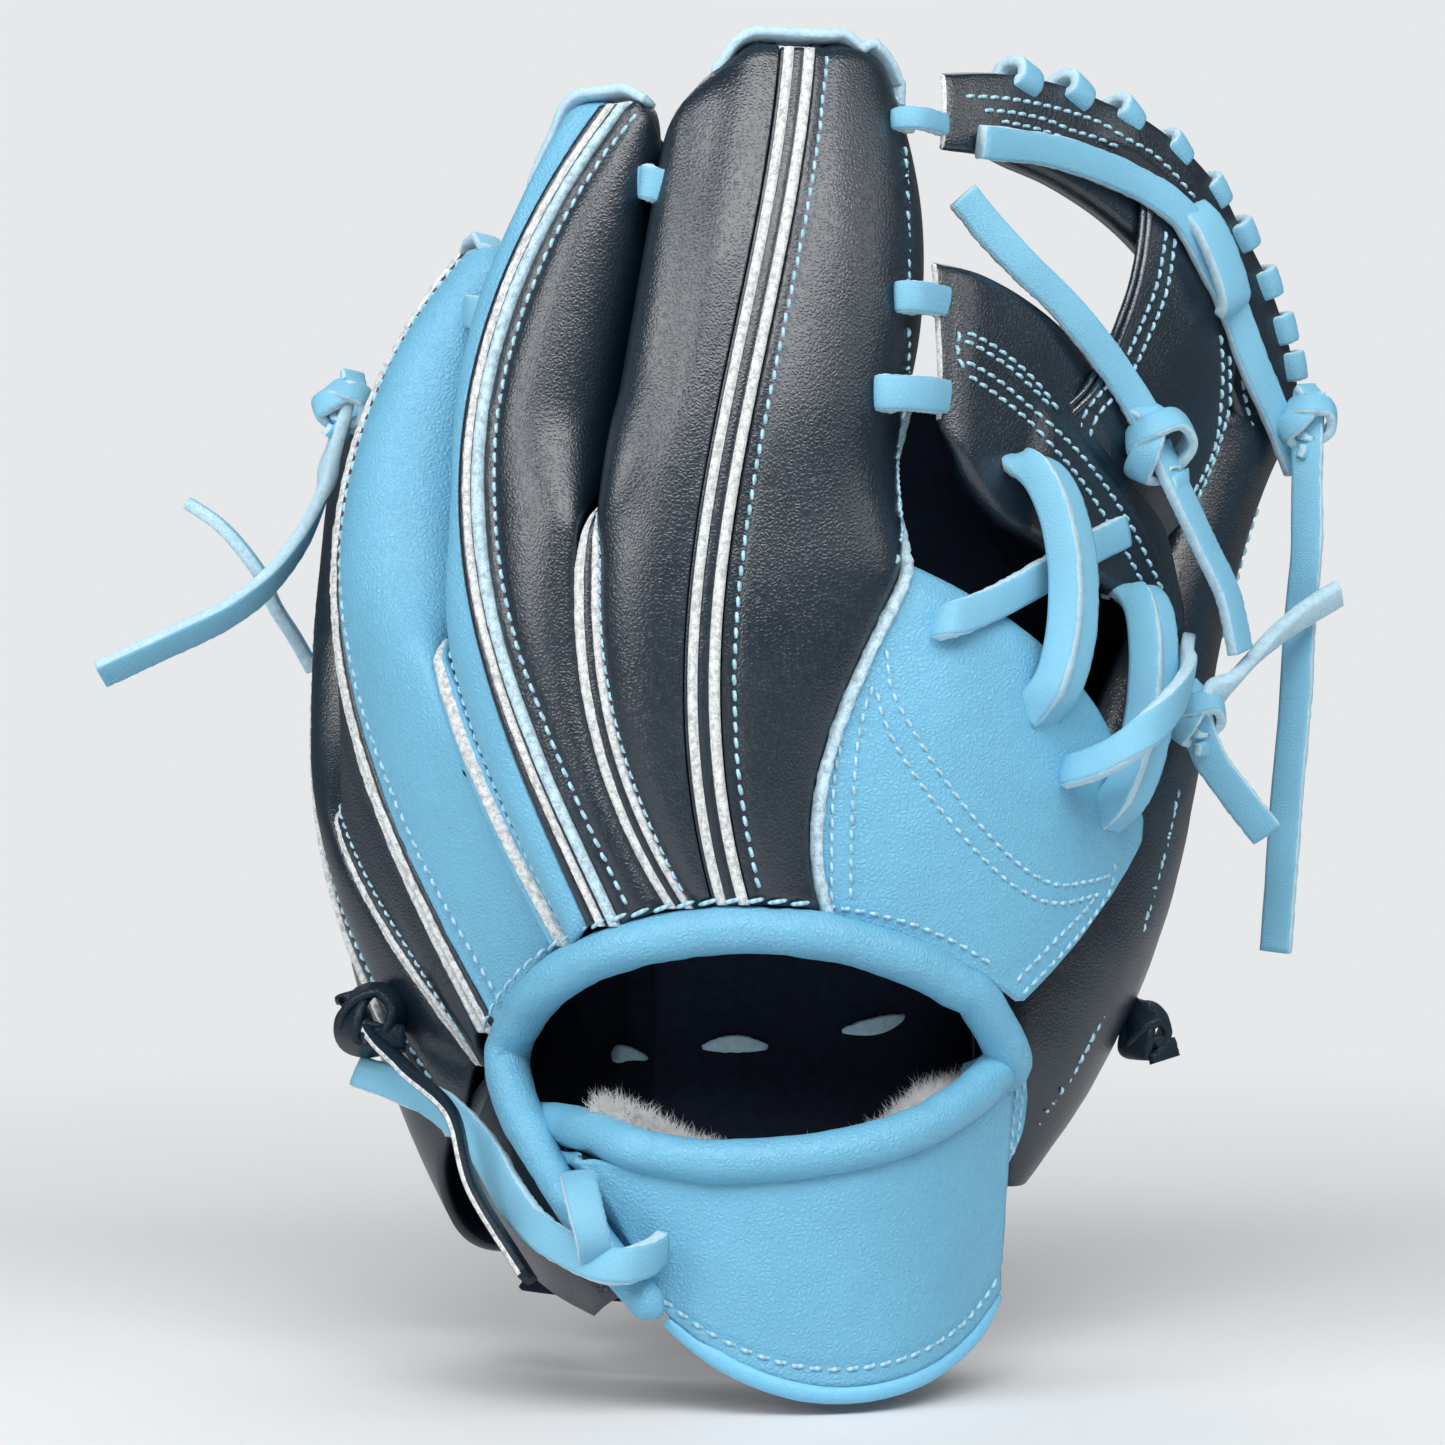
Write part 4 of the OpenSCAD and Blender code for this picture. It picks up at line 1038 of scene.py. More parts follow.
def welt(build, line, bands, taper, seed):
    """A welt along a line of angles, radii and heights, from its bands of raw edge and leather."""
    total = sum(b[0] for b in bands)
    section = [(-total / 2, -WELT_SUNK, bands[0][1])]
    x = -total / 2
    for width, kind, rise in bands:
        for share, lift in ((0.0, 0.35), (0.18, 0.88), (0.5, 1.0), (0.82, 0.88)):
            section.append((x + share * width, lift * rise, kind))
        x += width
    section.append((total / 2, 0.1, bands[-1][1]))
    section.append((total / 2, -WELT_SUNK, bands[-1][1]))
    shape = np.array([(x, h) for x, h, _ in section])
    q = line[:, None]
    x = shape[None, :, 0] * taper[:, None]
    h = shape[None, :, 1] * np.where(shape[None, :, 1] > 0, np.sqrt(taper)[:, None], 1)
    points = place(polar(q[..., 0] + arc(x, q[..., 1]), q[..., 1] + h, q[..., 2]))
    rough = np.array([1.0 if kind.startswith("raw") and h > 0.4 else 0.0 for _, h, kind in section])
    fuzz = (0.22 * lumps(points, 0.9, seed) + 0.2 * lumps(points, 3.5, seed + 1)) * rough
    points = points + unit(points - axis_at(points)) * fuzz[..., None]
    kinds = [kind for _, _, kind in section] * (len(line) - 1) + ["raw", "raw"]
    flat = points.reshape(-1, 3)
    build.add(flat, outward(flat, tube_faces(len(line), len(section))), kinds)


def make_welts():
    """Ridge and crotch welts with their raw edges."""
    t = np.linspace(0, 1, 220)
    for f, finger in enumerate(FINGERS):
        build = Build()
        welt(build, ridge(f, t), RIDGE_BANDS[f], np.ones(len(t)), 40 + f)
        build.piece(f"{finger}_ridge_welt", "hand", (f"{finger}_ridge_welt",))
    for k, name in ((1, "pinky_ring_welt"), (2, "ring_middle_welt"), (3, "middle_index_welt")):
        build = Build()
        line = valley(k, t * CROTCHES[k])
        line[..., 1] += WELT_LIFT[k]
        taper = np.sqrt(np.clip((1 - t) / 0.16, 0.02, 1))
        welt(build, line, CROTCH_BANDS[k], taper, 50 + k)
        build.piece(name, "hand", (name,))


# How far up the palm leather runs between index finger and thumb, and where it starts to pass the crease
PALM_TOP = 0.66
PALM_WING = 0.36
# Rows of the palm's grid below and above the rim, its columns for a finger, those of index edge and crease
HEEL_ROWS = 21
PALM_ROWS = 66
FINGER_STEPS = 18
INDEX_COL = 4 * FINGER_STEPS
CREASE_COL = INDEX_COL + 12
# Rows of stitches on the palm's side of the fingers: columns in fingers, and shares of the fingers' length
PALM_SEAMS = (0.06, 0.94, 1.06, 1.94, 2.06, 2.94, 3.06, 3.94)
PALM_SEAM_ENDS = (0.55, 0.985)


def make_palm():
    """Palm leather, which runs up behind the fingers."""
    t = np.concatenate([np.linspace(-1, 0, HEEL_ROWS + 1)[:-1], np.linspace(0, 1, PALM_ROWS)])
    us = np.concatenate([np.linspace(0, 4, INDEX_COL + 1), np.linspace(4, 5.5, FINGER_STEPS + 1)[1:]])
    grid = np.stack([palm_column(u, t, 0.0) for u in us], 1)
    face = Face(grid, 2 * grid - axis_at(grid))
    face.raise_by(0.5 * lumps(grid, 18, 5) * smooth(-1, -0.8, t)[:, None])
    keep = np.ones((len(t) - 1, len(us) - 1), bool)
    keep[:, INDEX_COL:] = (t[1:] <= PALM_TOP)[:, None]
    keep[:, CREASE_COL:] &= (t[:-1] >= PALM_WING)[:, None]
    sheet_piece("palm_shell", "hand", "black_leather", face, size_mm("leather_t"), "black", under="lining",
                keep=keep)
    rows = Build()
    i = np.linspace(HEEL_ROWS + PALM_ROWS * PALM_SEAM_ENDS[0], HEEL_ROWS + PALM_ROWS * PALM_SEAM_ENDS[1], 80)
    for u in PALM_SEAMS:
        stitches(rows, face.at(i, np.full(len(i), u * FINGER_STEPS)))
    rows.piece("palm_stitches", "hand")


# Shares of the felt's thickness and of its way to the heel that are left where the hand has pressed it
FELT_PRESSED = 0.55
FELT_SHORT = 0.92


def make_linings():
    """Felt and lining of the palm, and the lining of the back."""
    inner = np.concatenate([np.linspace(-1, 0, 16)[:-1], np.linspace(0, INNER_TOP, 20)])
    leather_t = size_mm("leather_t")
    lining_low = leather_t + FELT_T + FELT_GAP + 2 * SEAM_GAP
    for name, low, thick, kind, slot, last in (
            ("palm_felt", leather_t + FELT_GAP, FELT_T, "felt", "wool_felt", 4.3),
            ("palm_lining", lining_low, LINING_T, "lining", "lining_leather", 5.15)):
        felt = name == "palm_felt"
        rows = np.where(inner < 0, inner * (FELT_SHORT if felt else 1), inner)
        grid = np.stack([palm_column(u, rows, low + thick) for u in np.linspace(1.04, last, 50)], 1)
        face = Face(grid, axis_at(grid))
        if not felt:
            face.raise_by(0.35 * lumps(grid, 14, 8))
            FACES[name] = face
        made = sheet_piece(name, "hand", slot, face, thick * (FELT_PRESSED if felt else 1), kind)
    make_lining_laces()
    share = np.linspace(0.04, 0.36, 18)
    line = []
    for f in (1, 2, 3):
        for a, side in ((90, 0), (60, 0), (30, 0), (30, 1), (60, 1), (90, 1)):
            q = back_point(f, side, a, share)
            q[..., 1] -= leather_t + FELT_GAP
            line.append(place(q))
    grid = np.stack(line, 1)
    face = Face(grid, axis_at(grid))
    sheet_piece("back_lining", "hand", "lining_leather", face, LINING_T, "lining")


# Turns of lace that hold the lining, in the photograph's pixels
LINING_TURNS = (((702, 1047), (735, 1043), (768, 1047)), ((842, 1031), (875, 1024), (905, 1016)),
                ((612, 1058), (630, 1053), (648, 1058)))


def make_lining_laces():
    """Short turns of lace that show on the lining inside the opening."""
    build = Build()
    for number, pixels in enumerate(LINING_TURNS):
        line, out = FACES["palm_lining"].seen(pixels)
        rise = -1.2 + 2.4 * np.sin(math.pi * np.linspace(0, 1, len(line))) ** 0.5
        path = smooth_path(line + out * rise[:, None], 26)
        lens = 0.5 + 3.2 * np.sin(math.pi * np.linspace(0, 1, 26))
        wide = np.cross(out[len(out) // 2], headings(path))
        lace(build, path, wide, seed=150 + number, width=lens, thick=1.4, dye=SPLIT_LACE)
    build.piece("lining_laces", "hand")


# Angle at which the blue panel's lower edge leaves the rim, and the height of the thumb's foot
KNEE = -41.0
THUMB_FOOT = -28.0


def thumb_z(t):
    """Height at a share of the thumb's length."""
    return mix(THUMB_FOOT, THUMB_TIP, t)


# Outer corner of the blue panel: angle, radius and height
THUMB_CORNER = np.array([-70, POCKET_R + 7.5, thumb_z(0.4485)])


def thumb_back_face():
    """The blue panel between the index finger and the thumb."""
    u = np.linspace(0, 0.97, 70)[None, :, None]
    v = np.linspace(-0.03, 1, 60)[:, None, None]

    def edge(share):
        q = valley(4, share * CROTCHES[4])
        r = q[..., 1]
        return q + np.stack([-arc(2 * SEAM_GAP, r), np.ones_like(r), np.zeros_like(r)], -1)

    low = edge(np.array(0.0))
    high = edge(np.array(1.0))
    knee = np.array([KNEE, POCKET_R + 1, rim_z(KNEE)])
    a = mix(low[0], knee[0], np.minimum(1, 2 * u[..., 0]))
    first = polar(a, mix(low[1], knee[1], np.minimum(1, 2 * u[..., 0])), rim_z(a))
    bottom = np.where(u < 0.5, first, mix(knee, THUMB_CORNER, np.maximum(0, 2 * u - 1)))
    bow = np.sin(math.pi * u)
    top = mix(high, THUMB_CORNER, u) + np.array([0, 2, 8]) * bow
    q = mix(bottom, top, v) + (edge(v[..., 0]) - mix(low, high, v)) * (1 - u) + np.array([0, 2, 0]) * bow
    grid = place(q)
    face = Face(grid, axis_at(grid))
    rise = 0.4 * lumps(grid, 20, 12) + 0.18 * lumps(grid * [1, 1, 1.8], 7, 13)
    face.raise_by(rise)
    return face


# Rows of stitches on the blue panel, in the photograph's pixels
THUMB_BACK_ROWS = (
    ((857, 688), (842, 735), (833, 800), (831, 900)),
    ((873, 684), (860, 730), (853, 800), (851, 900)),
    ((876, 690), (885, 722), (905, 760), (945, 815), (995, 870), (1030, 895), (1060, 903), (1098, 894)),
    ((886, 648), (892, 690), (910, 725), (945, 780), (980, 825), (1020, 865), (1055, 884), (1088, 881),
     (1110, 875)),
    ((1015, 982), (1050, 945), (1080, 915), (1098, 892)),
    ((1021, 995), (1060, 955), (1090, 920), (1110, 888), (1114, 860)),
    ((824, 906), (870, 913), (915, 925), (955, 942), (990, 963)),
)
# Points from the hand to the thumb, given to the panel's pieces
THUMB_BEND = ((30, -45, 60), (70, -20, 60))
# Section of its raw edge: across and out
EDGE_SECTION = np.array([(-0.5, -0.3), (-0.45, 0.3), (-0.1, 0.5), (0.3, 0.42), (0.5, 0.0), (0.3, -0.4)])
EDGE_T = 1.8


def make_thumb_back():
    """Blue panel over the thumb's root, with its raw edge and double rows of stitches."""
    face = thumb_back_face()
    build = Build()
    thick_sheet(build, face, size_mm("leather_t"), "blue", "raw_blue", under="lining")
    edge, out = face.beside(0.8, (0.0, 1.0))
    more = valley(4, np.linspace(CROTCHES[4], 0.62, 40)[1:])
    more[..., 1] += 1.5
    path = np.vstack([edge[::2] + out[::2] * 0.7, place(more)])
    width = np.concatenate([np.full(len(edge[::2]), 2.6), mix(4.6, 2.6, np.linspace(0, 1, len(more)))])
    b = square_to(path, [1, -0.4, 0])
    n = np.cross(headings(path), b)
    across = b[:, None] * (EDGE_SECTION[None, :, :1] * width[:, None, None])
    points = path[:, None] + across + n[:, None] * (EDGE_SECTION[None, :, 1:] * EDGE_T)
    rough = n[:, None] * lumps(points, 1.0, 3)[..., None]
    wander = b[:, None] * lumps(points, 2.2, 4)[..., None]
    flat = (points + 0.28 * rough + 0.3 * wander).reshape(-1, 3)
    build.add(flat, outward(flat, tube_faces(len(path), len(EDGE_SECTION))), "raw_blue")
    build.piece("thumb_back_panel", None, ("thumb_back_panel",), blend=THUMB_BEND)
    rows = Build()
    for pixels in THUMB_BACK_ROWS:
        stitches(rows, face.seen(pixels), pitch=2.9, d=0.85)
    rows.piece("thumb_back_stitches", None, blend=THUMB_BEND)


# The roll's falling end beside the strap, and the angles between which the roll follows the rim
ROLL_FALL = ((-53.5, -14, -7), (-40, -50, -24), (-19, -60.3, -46))
RIM_ENDS = (-39.5, 40.06)
# The roll's corner at the thumb's side, where it turns back into the strap's roll
ROLL_CORNER = ((44.5, -15.5, -5.5), (49.5, -17.5, -3.2), (51.6, -21.5, 0.6))


def rim_radius(angle):
    """Distance of the roll's middle from the pocket axis."""
    return POCKET_R - 1 - 16 * smooth(12, 48, angle)


def rim_path(angles):
    """Middle of the roll below the rim."""
    r = rim_radius(angles)
    slope = 2 * RIM_DROP * (angles - RIM_MID) / 45 ** 2 * arc(1, r)
    drop = (size_mm("roll_d") / 2 + (4 + 2 * smooth(28, 40, angles)) * SEAM_GAP) * np.hypot(1, slope)
    return place(polar(angles, r, rim_z(angles) - drop))


def roll_path():
    """Middle of the whole roll, from its corner over the rim to its falling end."""
    along = rim_path(np.linspace(RIM_ENDS[0], RIM_ENDS[1], 90))
    along[:, 2] += 1.3
    fall = bezier(np.vstack([along[-1:], np.array(ROLL_FALL, float)]), np.linspace(0, 1, 60)[1:])
    return smooth_path(np.vstack([ROLL_CORNER, along[4::4], fall[4::4], fall[-1:]]), 220)


def make_opening():
    """Padded roll round the hand opening and the long stitches above it."""
    path = roll_path()
    s = np.linspace(0, 1, len(path))
    radius = size_mm("roll_d") / 2 * (1 - 0.24 * smooth(0.7, 0.86, s))
    radius[-4:] *= (0.95, 0.8, 0.55, 0.2)
    build = Build()
    tube(build, path, radius, "blue", sides=24, seed=7, bumps=0.3, wrinkle_mm=8)
    made = build.piece("opening_binding", "hand", ("opening_binding",))
    rows = Build()
    a = np.linspace(-10.5, 45, 110)
    feet = sorted([line[0] for line in RIDGES + VALLEYS] + [(KNEE, 1)])
    r = POCKET_R + np.interp(a, [foot[0] for foot in feet], [foot[1] for foot in feet])
    line = place(polar(a, r + 1.3, rim_z(a) + 0.8))
    stitches(rows, (line, unit(line - axis_at(line))), pitch=4.6, length=3.9, d=0.95, skew=12)
    rows.piece("rim_stitches", "hand")


# Where the strap's roll goes in behind the roll of the opening, and the share of the strap that does
STRAP_ROLL_TUCK = ((-49, -10, -15), (-43, -21.5, -13), (-37.6, -31.5, -12.4), (-33, -41, -12.4))
STRAP_ROLL_D = 8.7
STRAP_TUCK = 0.17
# Rows and columns of the strap's grid, and the least radius of its tab
STRAP_ROWS = 44
STRAP_COLS = 90
TAB_R = 77.8


def strap_at(u, v, lift):
    """A point of the strap: u runs to the thumb's side, v from its lower to its upper edge, lift inwards."""
    a = mix(mix(8, 19, v), mix(-42, -46, v), u)
    low = STRAP_LOW + np.where(a > -14, 19, 11.5) * ((a + 14) / 25) ** 2
    high = STRAP_LOW + STRAP_H + 18 * ((a - 2) / 48) ** 2 + 2.5 * smooth(2, 19, a)
    return polar(a, POCKET_R + 7 - 14 * smooth(-14, -54, a) - lift, mix(low, high, v))


def make_strap():
    """Leather of the wrist strap and the stitches along its lower edge."""
    u = np.linspace(-STRAP_TUCK, 1, STRAP_COLS)[None, :]
    v = np.linspace(0, 1.06, STRAP_ROWS)[:, None]
    tuck = (np.maximum(0, -u) / STRAP_TUCK) ** 0.7
    q = strap_at(u, v, (5 + 15 * v) * tuck)
    q[..., 2] -= 3.2 * smooth(0.05, -0.07, u) * v
    grid = place(q)
    face = Face(grid, axis_at(grid))
    sag = 0.5 * lumps(grid * [1, 1, 0.6], 22, 21) + 0.15 * lumps(grid, 6, 22)
    pull = 0.9 * lumps(grid * [2, 2, 0.5], 9, 23) * np.exp(-(np.maximum(0, u) / 0.14) ** 2)
    face.raise_by(sag + pull - 0.4 * np.exp(-((v - 0.09) / 0.02) ** 2))
    sheet_piece("wrist_strap", "hand", "blue_leather", face, size_mm("leather_t"), "blue", under="lining")
    rows = Build()
    j = np.linspace(11, 88, 160)
    stitches(rows, face.at(np.full(len(j), 0.08 * (STRAP_ROWS - 1)), j), pitch=3.6, length=2.9)
    rows.piece("strap_stitches", "hand")


def make_strap_rolls():
    """Padded roll on the strap's upper edge and piping on its lower one."""
    share = np.linspace(0, 1, 120)
    for name, edge, rise, d, kind, bumps in (
            ("strap_binding", 1.0, size_mm("roll_d") / 2 + SEAM_GAP, STRAP_ROLL_D, "blue", 0.26),
            ("strap_piping", 0.0, -size_mm("piping_d") / 2 + SEAM_GAP, size_mm("piping_d"), "piping", 0.06)):
        padded = name == "strap_binding"
        q = strap_at(share, edge, size_mm("leather_t") / 2)
        q[..., 2] += rise
        path = place(q)
        if padded:
            path = smooth_path(np.vstack([STRAP_ROLL_TUCK, path[12::6]]), 150)
        radius = np.full(len(path), d / 2)
        ends = 5 if padded else 16
        radius[:ends] *= np.linspace(0.35, 1, ends) ** 0.5
        radius[-ends:] *= np.linspace(1, 0.35, ends) ** 0.5
        build = Build()
        tube(build, path, radius, kind, sides=20, seed=9, bumps=bumps, wrinkle_mm=9)
        made = build.piece(name, "hand", (name,))


def make_strap_tab():
    """Tab with round corners that is sewn over the strap's end at the thumb's side."""
    leather_t = size_mm("leather_t")
    u = np.linspace(0.92, 1.12, 18)[None, :]
    v = np.linspace(0.5, 0.97, 30)[:, None]
    round_off = 0.06 * (2 * (v - 0.5) / 0.47 - 1) ** 6
    q = strap_at(u - round_off * (u - 0.92) / 0.2, v, leather_t + SEAM_GAP)
    q[..., 1] = np.maximum(q[..., 1], TAB_R)
    grid = place(q)
    face = Face(grid, axis_at(grid))
    sheet_piece("strap_tab", "hand", "blue_leather", face, leather_t, "blue", cut="raw_blue")
    rows = Build()
    for col in (11.6, 14.2):
        stitches(rows, face.at(np.linspace(1.5, 27.5, 60), np.full(60, col)), pitch=2.7, d=0.8)
    rows.piece("tab_stitches", "hand")


# Columns of the fleece's grid, its thickness, its strands all over and those along its upper edge
FLEECE_COLS = 60
FLEECE_T = 5.4
STRANDS = 4200
EDGE_STRANDS = 13000
STRAND_D = 0.2


def fleece_rise(u):
    """Height of the fleece over the strap's edge: it shows over the roll at both sides."""
    return 2.0 + 8.0 * np.exp(-((u - 0.05) / 0.2) ** 2) + 4.5 * np.exp(-((u - 0.74) / 0.12) ** 2)


def make_fleece():
    """Fleece pad behind the strap: a soft body under a pile of tapering strands."""
    near = size_mm("leather_t") + SEAM_GAP
    u = np.linspace(0, 0.9, FLEECE_COLS)[None, :]
    v = np.linspace(0, 1.3, 40)[:, None]
    lean = 3.8 * smooth(0.86, 1.04, v)
    q = strap_at(u, np.minimum(v, 1), near + 6.5 + lean)
    q[..., 2] += fleece_rise(u) * np.maximum(0, v - 1) / 0.3
    grid = place(q)
    face = Face(grid, 2 * grid - axis_at(grid))
    face.raise_by(0.8 * lumps(grid, 5, 31))
    build = Build()
    thick_sheet(build, face, FLEECE_T, "fleece", "fleece")
    rng = np.random.default_rng(11)
    pile = size_mm("pile")
    last = len(grid) - 1
    side = FLEECE_COLS - 1
    spots = [(rng.random() * last, rng.random() * side) for _ in range(STRANDS)]
    spots += [(last - 8 * rng.random() ** 1.5, rng.random() * side) for _ in range(EDGE_STRANDS)]
    for number, (row, col) in enumerate(spots):
        root, out = face.at(np.array(row), np.array(col))
        top = number >= STRANDS
        sway = rng.normal(0, 0.4, 3) + np.array([0, 0, 0.8 if top else 0.25])
        if top:
            root = root - out * rng.random() * FLEECE_T
        way = rng.choice((-0.5, 0.4)) if top else 0.8
        tip = root + unit(out * way + sway) * pile * (0.35 + (0.5 if top else 0.2) * rng.random())
        strand(build, root, tip, STRAND_D, rng)
    made = build.piece("strap_fleece", "hand", ("strap_fleece",))


STRAND_FACES = [[0, 1, 4, 3], [1, 2, 5, 4], [2, 0, 3, 5], [2, 1, 0], [3, 4, 6], [4, 5, 6], [5, 3, 6]]


def strand(build, root, tip, width, rng):
    """A bent, tapering fibre."""
    way = unit(tip - root)
    b = unit(np.cross(way, [0.3, 0.8, 0.5]))
    n = np.cross(way, b)
    bend = (root + tip) / 2 + rng.normal(0, 0.7, 3)
    loops = []
    for at, fat in ((root, 1.0), (bend, 0.75)):
        for k in range(3):
            angle = k * 2 * math.pi / 3
            loops.append(at + (b * math.cos(angle) + n * math.sin(angle)) * width * fat / 2)
    loops.append(tip)
    build.add(loops, outward(np.array(loops) - root, STRAND_FACES), "fleece")


# Lines of the thumb's stall from its foot to its tip: x and y of their control points
THUMB_BACK = ((50, -4), (60, -30), (88, 30), (106, 40))
THUMB_SIDE = ((57, 10), (108, 26), (92, 52), (123, 55))
THUMB_FRONT = ((46, 38), (78, 52), (84, 70), (110, 62))


def thumb_line(points, t):
    """Points along one of the thumb's lines."""
    q = bezier(points, t)
    return np.stack([q[..., 0], q[..., 1], thumb_z(t)], -1)


def thumb_outer(a, t, inset):
    """Points of the thumb's outer leather: a is -90 at its back line, 0 at its side and 90 at its front."""
    back = thumb_line(THUMB_BACK, t)
    side = thumb_line(THUMB_SIDE, t)
    front = thumb_line(THUMB_FRONT, t)
    c = (back + front) / 2
    to = back if a < 0 else front
    m = math.radians(abs(a))
    first = (side - c) * (1 - inset / np.linalg.norm(side - c, axis=-1, keepdims=True))
    second = (to - c) * (1 - inset / np.linalg.norm(to - c, axis=-1, keepdims=True))
    return c + first * math.cos(m) + second * math.sin(m)


def thumb_inner(u, t):
    """Points of the thumb's front leather: u runs from 0 at its front line to 1 at the crease."""
    f = thumb_line(THUMB_FRONT, t) + np.array([-3, 1, 0])
    k = place(crease(thumb_z(t))) + np.array([3, 3, 0])
    flat = np.stack([k[..., 1] - f[..., 1], f[..., 0] - k[..., 0], np.zeros(len(k))], -1)
    out = unit(flat)
    m = (f + k) / 2 + out * 18
    return (1 - u) ** 2 * f + 2 * u * (1 - u) * m + u * u * k


# Rows of stitches on the thumb, in the photograph's pixels
THUMB_ROWS = (
    ((1268, 515), (1254, 575), (1235, 640)),
    ((1178, 790), (1163, 855), (1141, 935)),
    ((1103, 1016), (1071, 1076), (1036, 1126)),
)


def make_thumb():
    """Outer and front leather of the thumb."""
    t = np.linspace(0, 1, 76)
    grid = np.stack([thumb_outer(a, t, 0.0) for a in np.linspace(-122, 90, 54)], 1)
    middle = (thumb_line(THUMB_BACK, t) + thumb_line(THUMB_FRONT, t))[:, None] / 2
    tip = [mix(grid[-1:], middle[-1:], e) + np.array([0, 0, 4 * math.sin(e * math.pi / 2)])
           for e in (0.1, 0.25, 0.45, 0.7, 0.95)]
    grid = np.concatenate([grid] + tip)
    centre = np.concatenate([middle] + [middle[-1:]] * len(tip))
    face = Face(grid, np.broadcast_to(centre, grid.shape))
    face.raise_by(0.5 * lumps(grid, 22, 41) + 0.15 * lumps(grid, 7, 42))
    leather_t = size_mm("leather_t")
    sheet_piece("thumb_outer_panel", "thumb", "black_leather", face, leather_t, "black", under="lining")
    rows = Build()
    for pixels in THUMB_ROWS:
        stitches(rows, face.seen(pixels))
    grid = np.stack([thumb_inner(u, t) for u in np.linspace(0, 1, 24)], 1)
    front = Face(grid, np.broadcast_to(middle, grid.shape))
    front.raise_by(0.5 * lumps(grid, 20, 43))
    sheet_piece("thumb_front_panel", "thumb", "black_leather", front, leather_t, "black", under="lining")
    stitches(rows, front.beside(3.0, (0.1, 0.97)))
    rows.piece("thumb_stitches", "thumb")


def lining_depth():
    """Depth of the thumb's lining below the outside of its leather."""
    return size_mm("leather_t") + 2 * SEAM_GAP


def make_thumb_lining():
    """Lining of the thumb's stall."""
    share = mix(0.1, 0.9, np.linspace(0, 1, 40))
    low = lining_depth()
    grid = np.stack([thumb_outer(a, share, low) for a in np.linspace(-72, 72, 28)], 1)
    middle = (thumb_line(THUMB_BACK, share) + thumb_line(THUMB_FRONT, share))[:, None] / 2
    face = Face(grid, np.broadcast_to(middle, grid.shape))
    sheet_piece("thumb_lining", "thumb", "lining_leather", face, LINING_T, "lining")


# Height of the crease strip's upper end, and points from the palm to the thumb given to the strip
CREASE_TOP = 88
CREASE_BEND = ((42, 10, 20), (52, 18, 20))


def make_crease():
    """Strip of leather that folds between the palm and the thumb."""
    z = mix(THUMB_FOOT, CREASE_TOP, np.linspace(0, 1, 40))
    q = crease(z)
    up = np.full(len(z), lining_depth() + LINING_T)
    cols = []
    for j in np.linspace(-1, 2.6, 14):
        cols.append(place(q + np.stack([arc(-3 * j, q[..., 1]), up, np.zeros(len(z))], -1)))
    grid = np.stack(cols, 1)
    face = Face(grid, axis_at(grid))
    sheet_piece("palm_crease", None, "black_leather", face, LINING_T, "black", blend=CREASE_BEND)


# Lower edge of the heel's panel
HEEL_LOWER = ((-61, 12, -28), (-55, -9, -38), (-45, -35, -45), (-32, -47, -48))
# Raw edge of the palm leather turned over the little finger's side: shares of the finger's length at its two
# ends, and pixels of the photograph inside the finger's outline
FLAP_EDGE = (0.55, 0.23, 2)
# Row of stitches beside that edge, in the photograph's pixels
FLAP_ROW = ((351, 809), (357, 860), (360, 900), (362, 930))


def beside_outline(face, top, bottom, inset_px):
    """Line on a finger's panel that runs inside its outline in the photograph."""
    t = np.linspace(top, bottom, 14)
    across = in_frame(face.grid)[..., 0]
    cols = []
    for row in np.round(t * LAST_ROW).astype(int):
        edge = np.argmin(across[row])
        cols.append(np.interp(across[row, edge] + inset_px, across[row, edge::-1], np.arange(edge, -1, -1)))
    return face.at(t * LAST_ROW, np.polyval(np.polyfit(t, cols, 2), t))


def make_heel():
    """Black leather under the roll's falling end, and the raw edge turned over the little finger's side."""
    s = np.linspace(-0.22, 1, 50)
    start = rim_path(np.array(RIM_ENDS[1:]))
    fall = np.vstack([start, np.array(ROLL_FALL, float)])
    way = unit(bezier(fall, s * 0.9 + 0.05) - bezier(fall, s * 0.9 - 0.05))
    down = unit(np.array([0, 0, 1]) - way * way[:, 2:])
    a = bezier(fall, s * 0.9) - down * 1.5
    b = bezier(HEEL_LOWER, s)
    cols = []
    for j in np.linspace(0, 1, 18):
        p = mix(a, b, j)
        out = unit(np.stack([p[:, 0] + 10, p[:, 1] - 20, np.zeros(len(s))], -1))
        cols.append(p + out * 3 * math.sin(math.pi * j))
    grid = np.stack(cols, 1)
    face = Face(grid, axis_at(grid))
    face.raise_by(0.4 * lumps(grid, 12, 51))
    sheet_piece("pinky_heel_panel", "hand", "black_leather", face, size_mm("leather_t"), "black")
    flap = FACES["pinky_outer_panel"]
    build = Build()
    path, out = beside_outline(flap, *FLAP_EDGE)
    tube(build, smooth_path(path + out * 0.4, 90), 0.9, "raw", sides=10, seed=52, bumps=0.15, wrinkle_mm=3)
    stitches(build, flap.seen(FLAP_ROW))
    build.piece("heel_flap_edge", "hand")


# Direction out of the web's palm side
WEB_NORMAL = unit([-0.65, 0.75, 0])
# Edges of the web's bars and post: x, and height over the line between the tips
TOP_UPPER = ((38, -9), (84, 42), (114, 43), (122, 4.8))
TOP_LOWER = ((38, -24), (74, 8), (94, 7), (106, -12.2))
LOW_UPPER = ((39.2, -49), (64, -31), (78, -36), (88, -59))
LOW_LOWER = ((38.5, -84), (48, -102), (68, -79), (84, -82))
POST_LEFT = ((82, 18.5), (84, 0), (78, -25), (62.5, -59.5))
POST_RIGHT = ((103, 23), (106, 2), (104, -20), (86, -62.3))
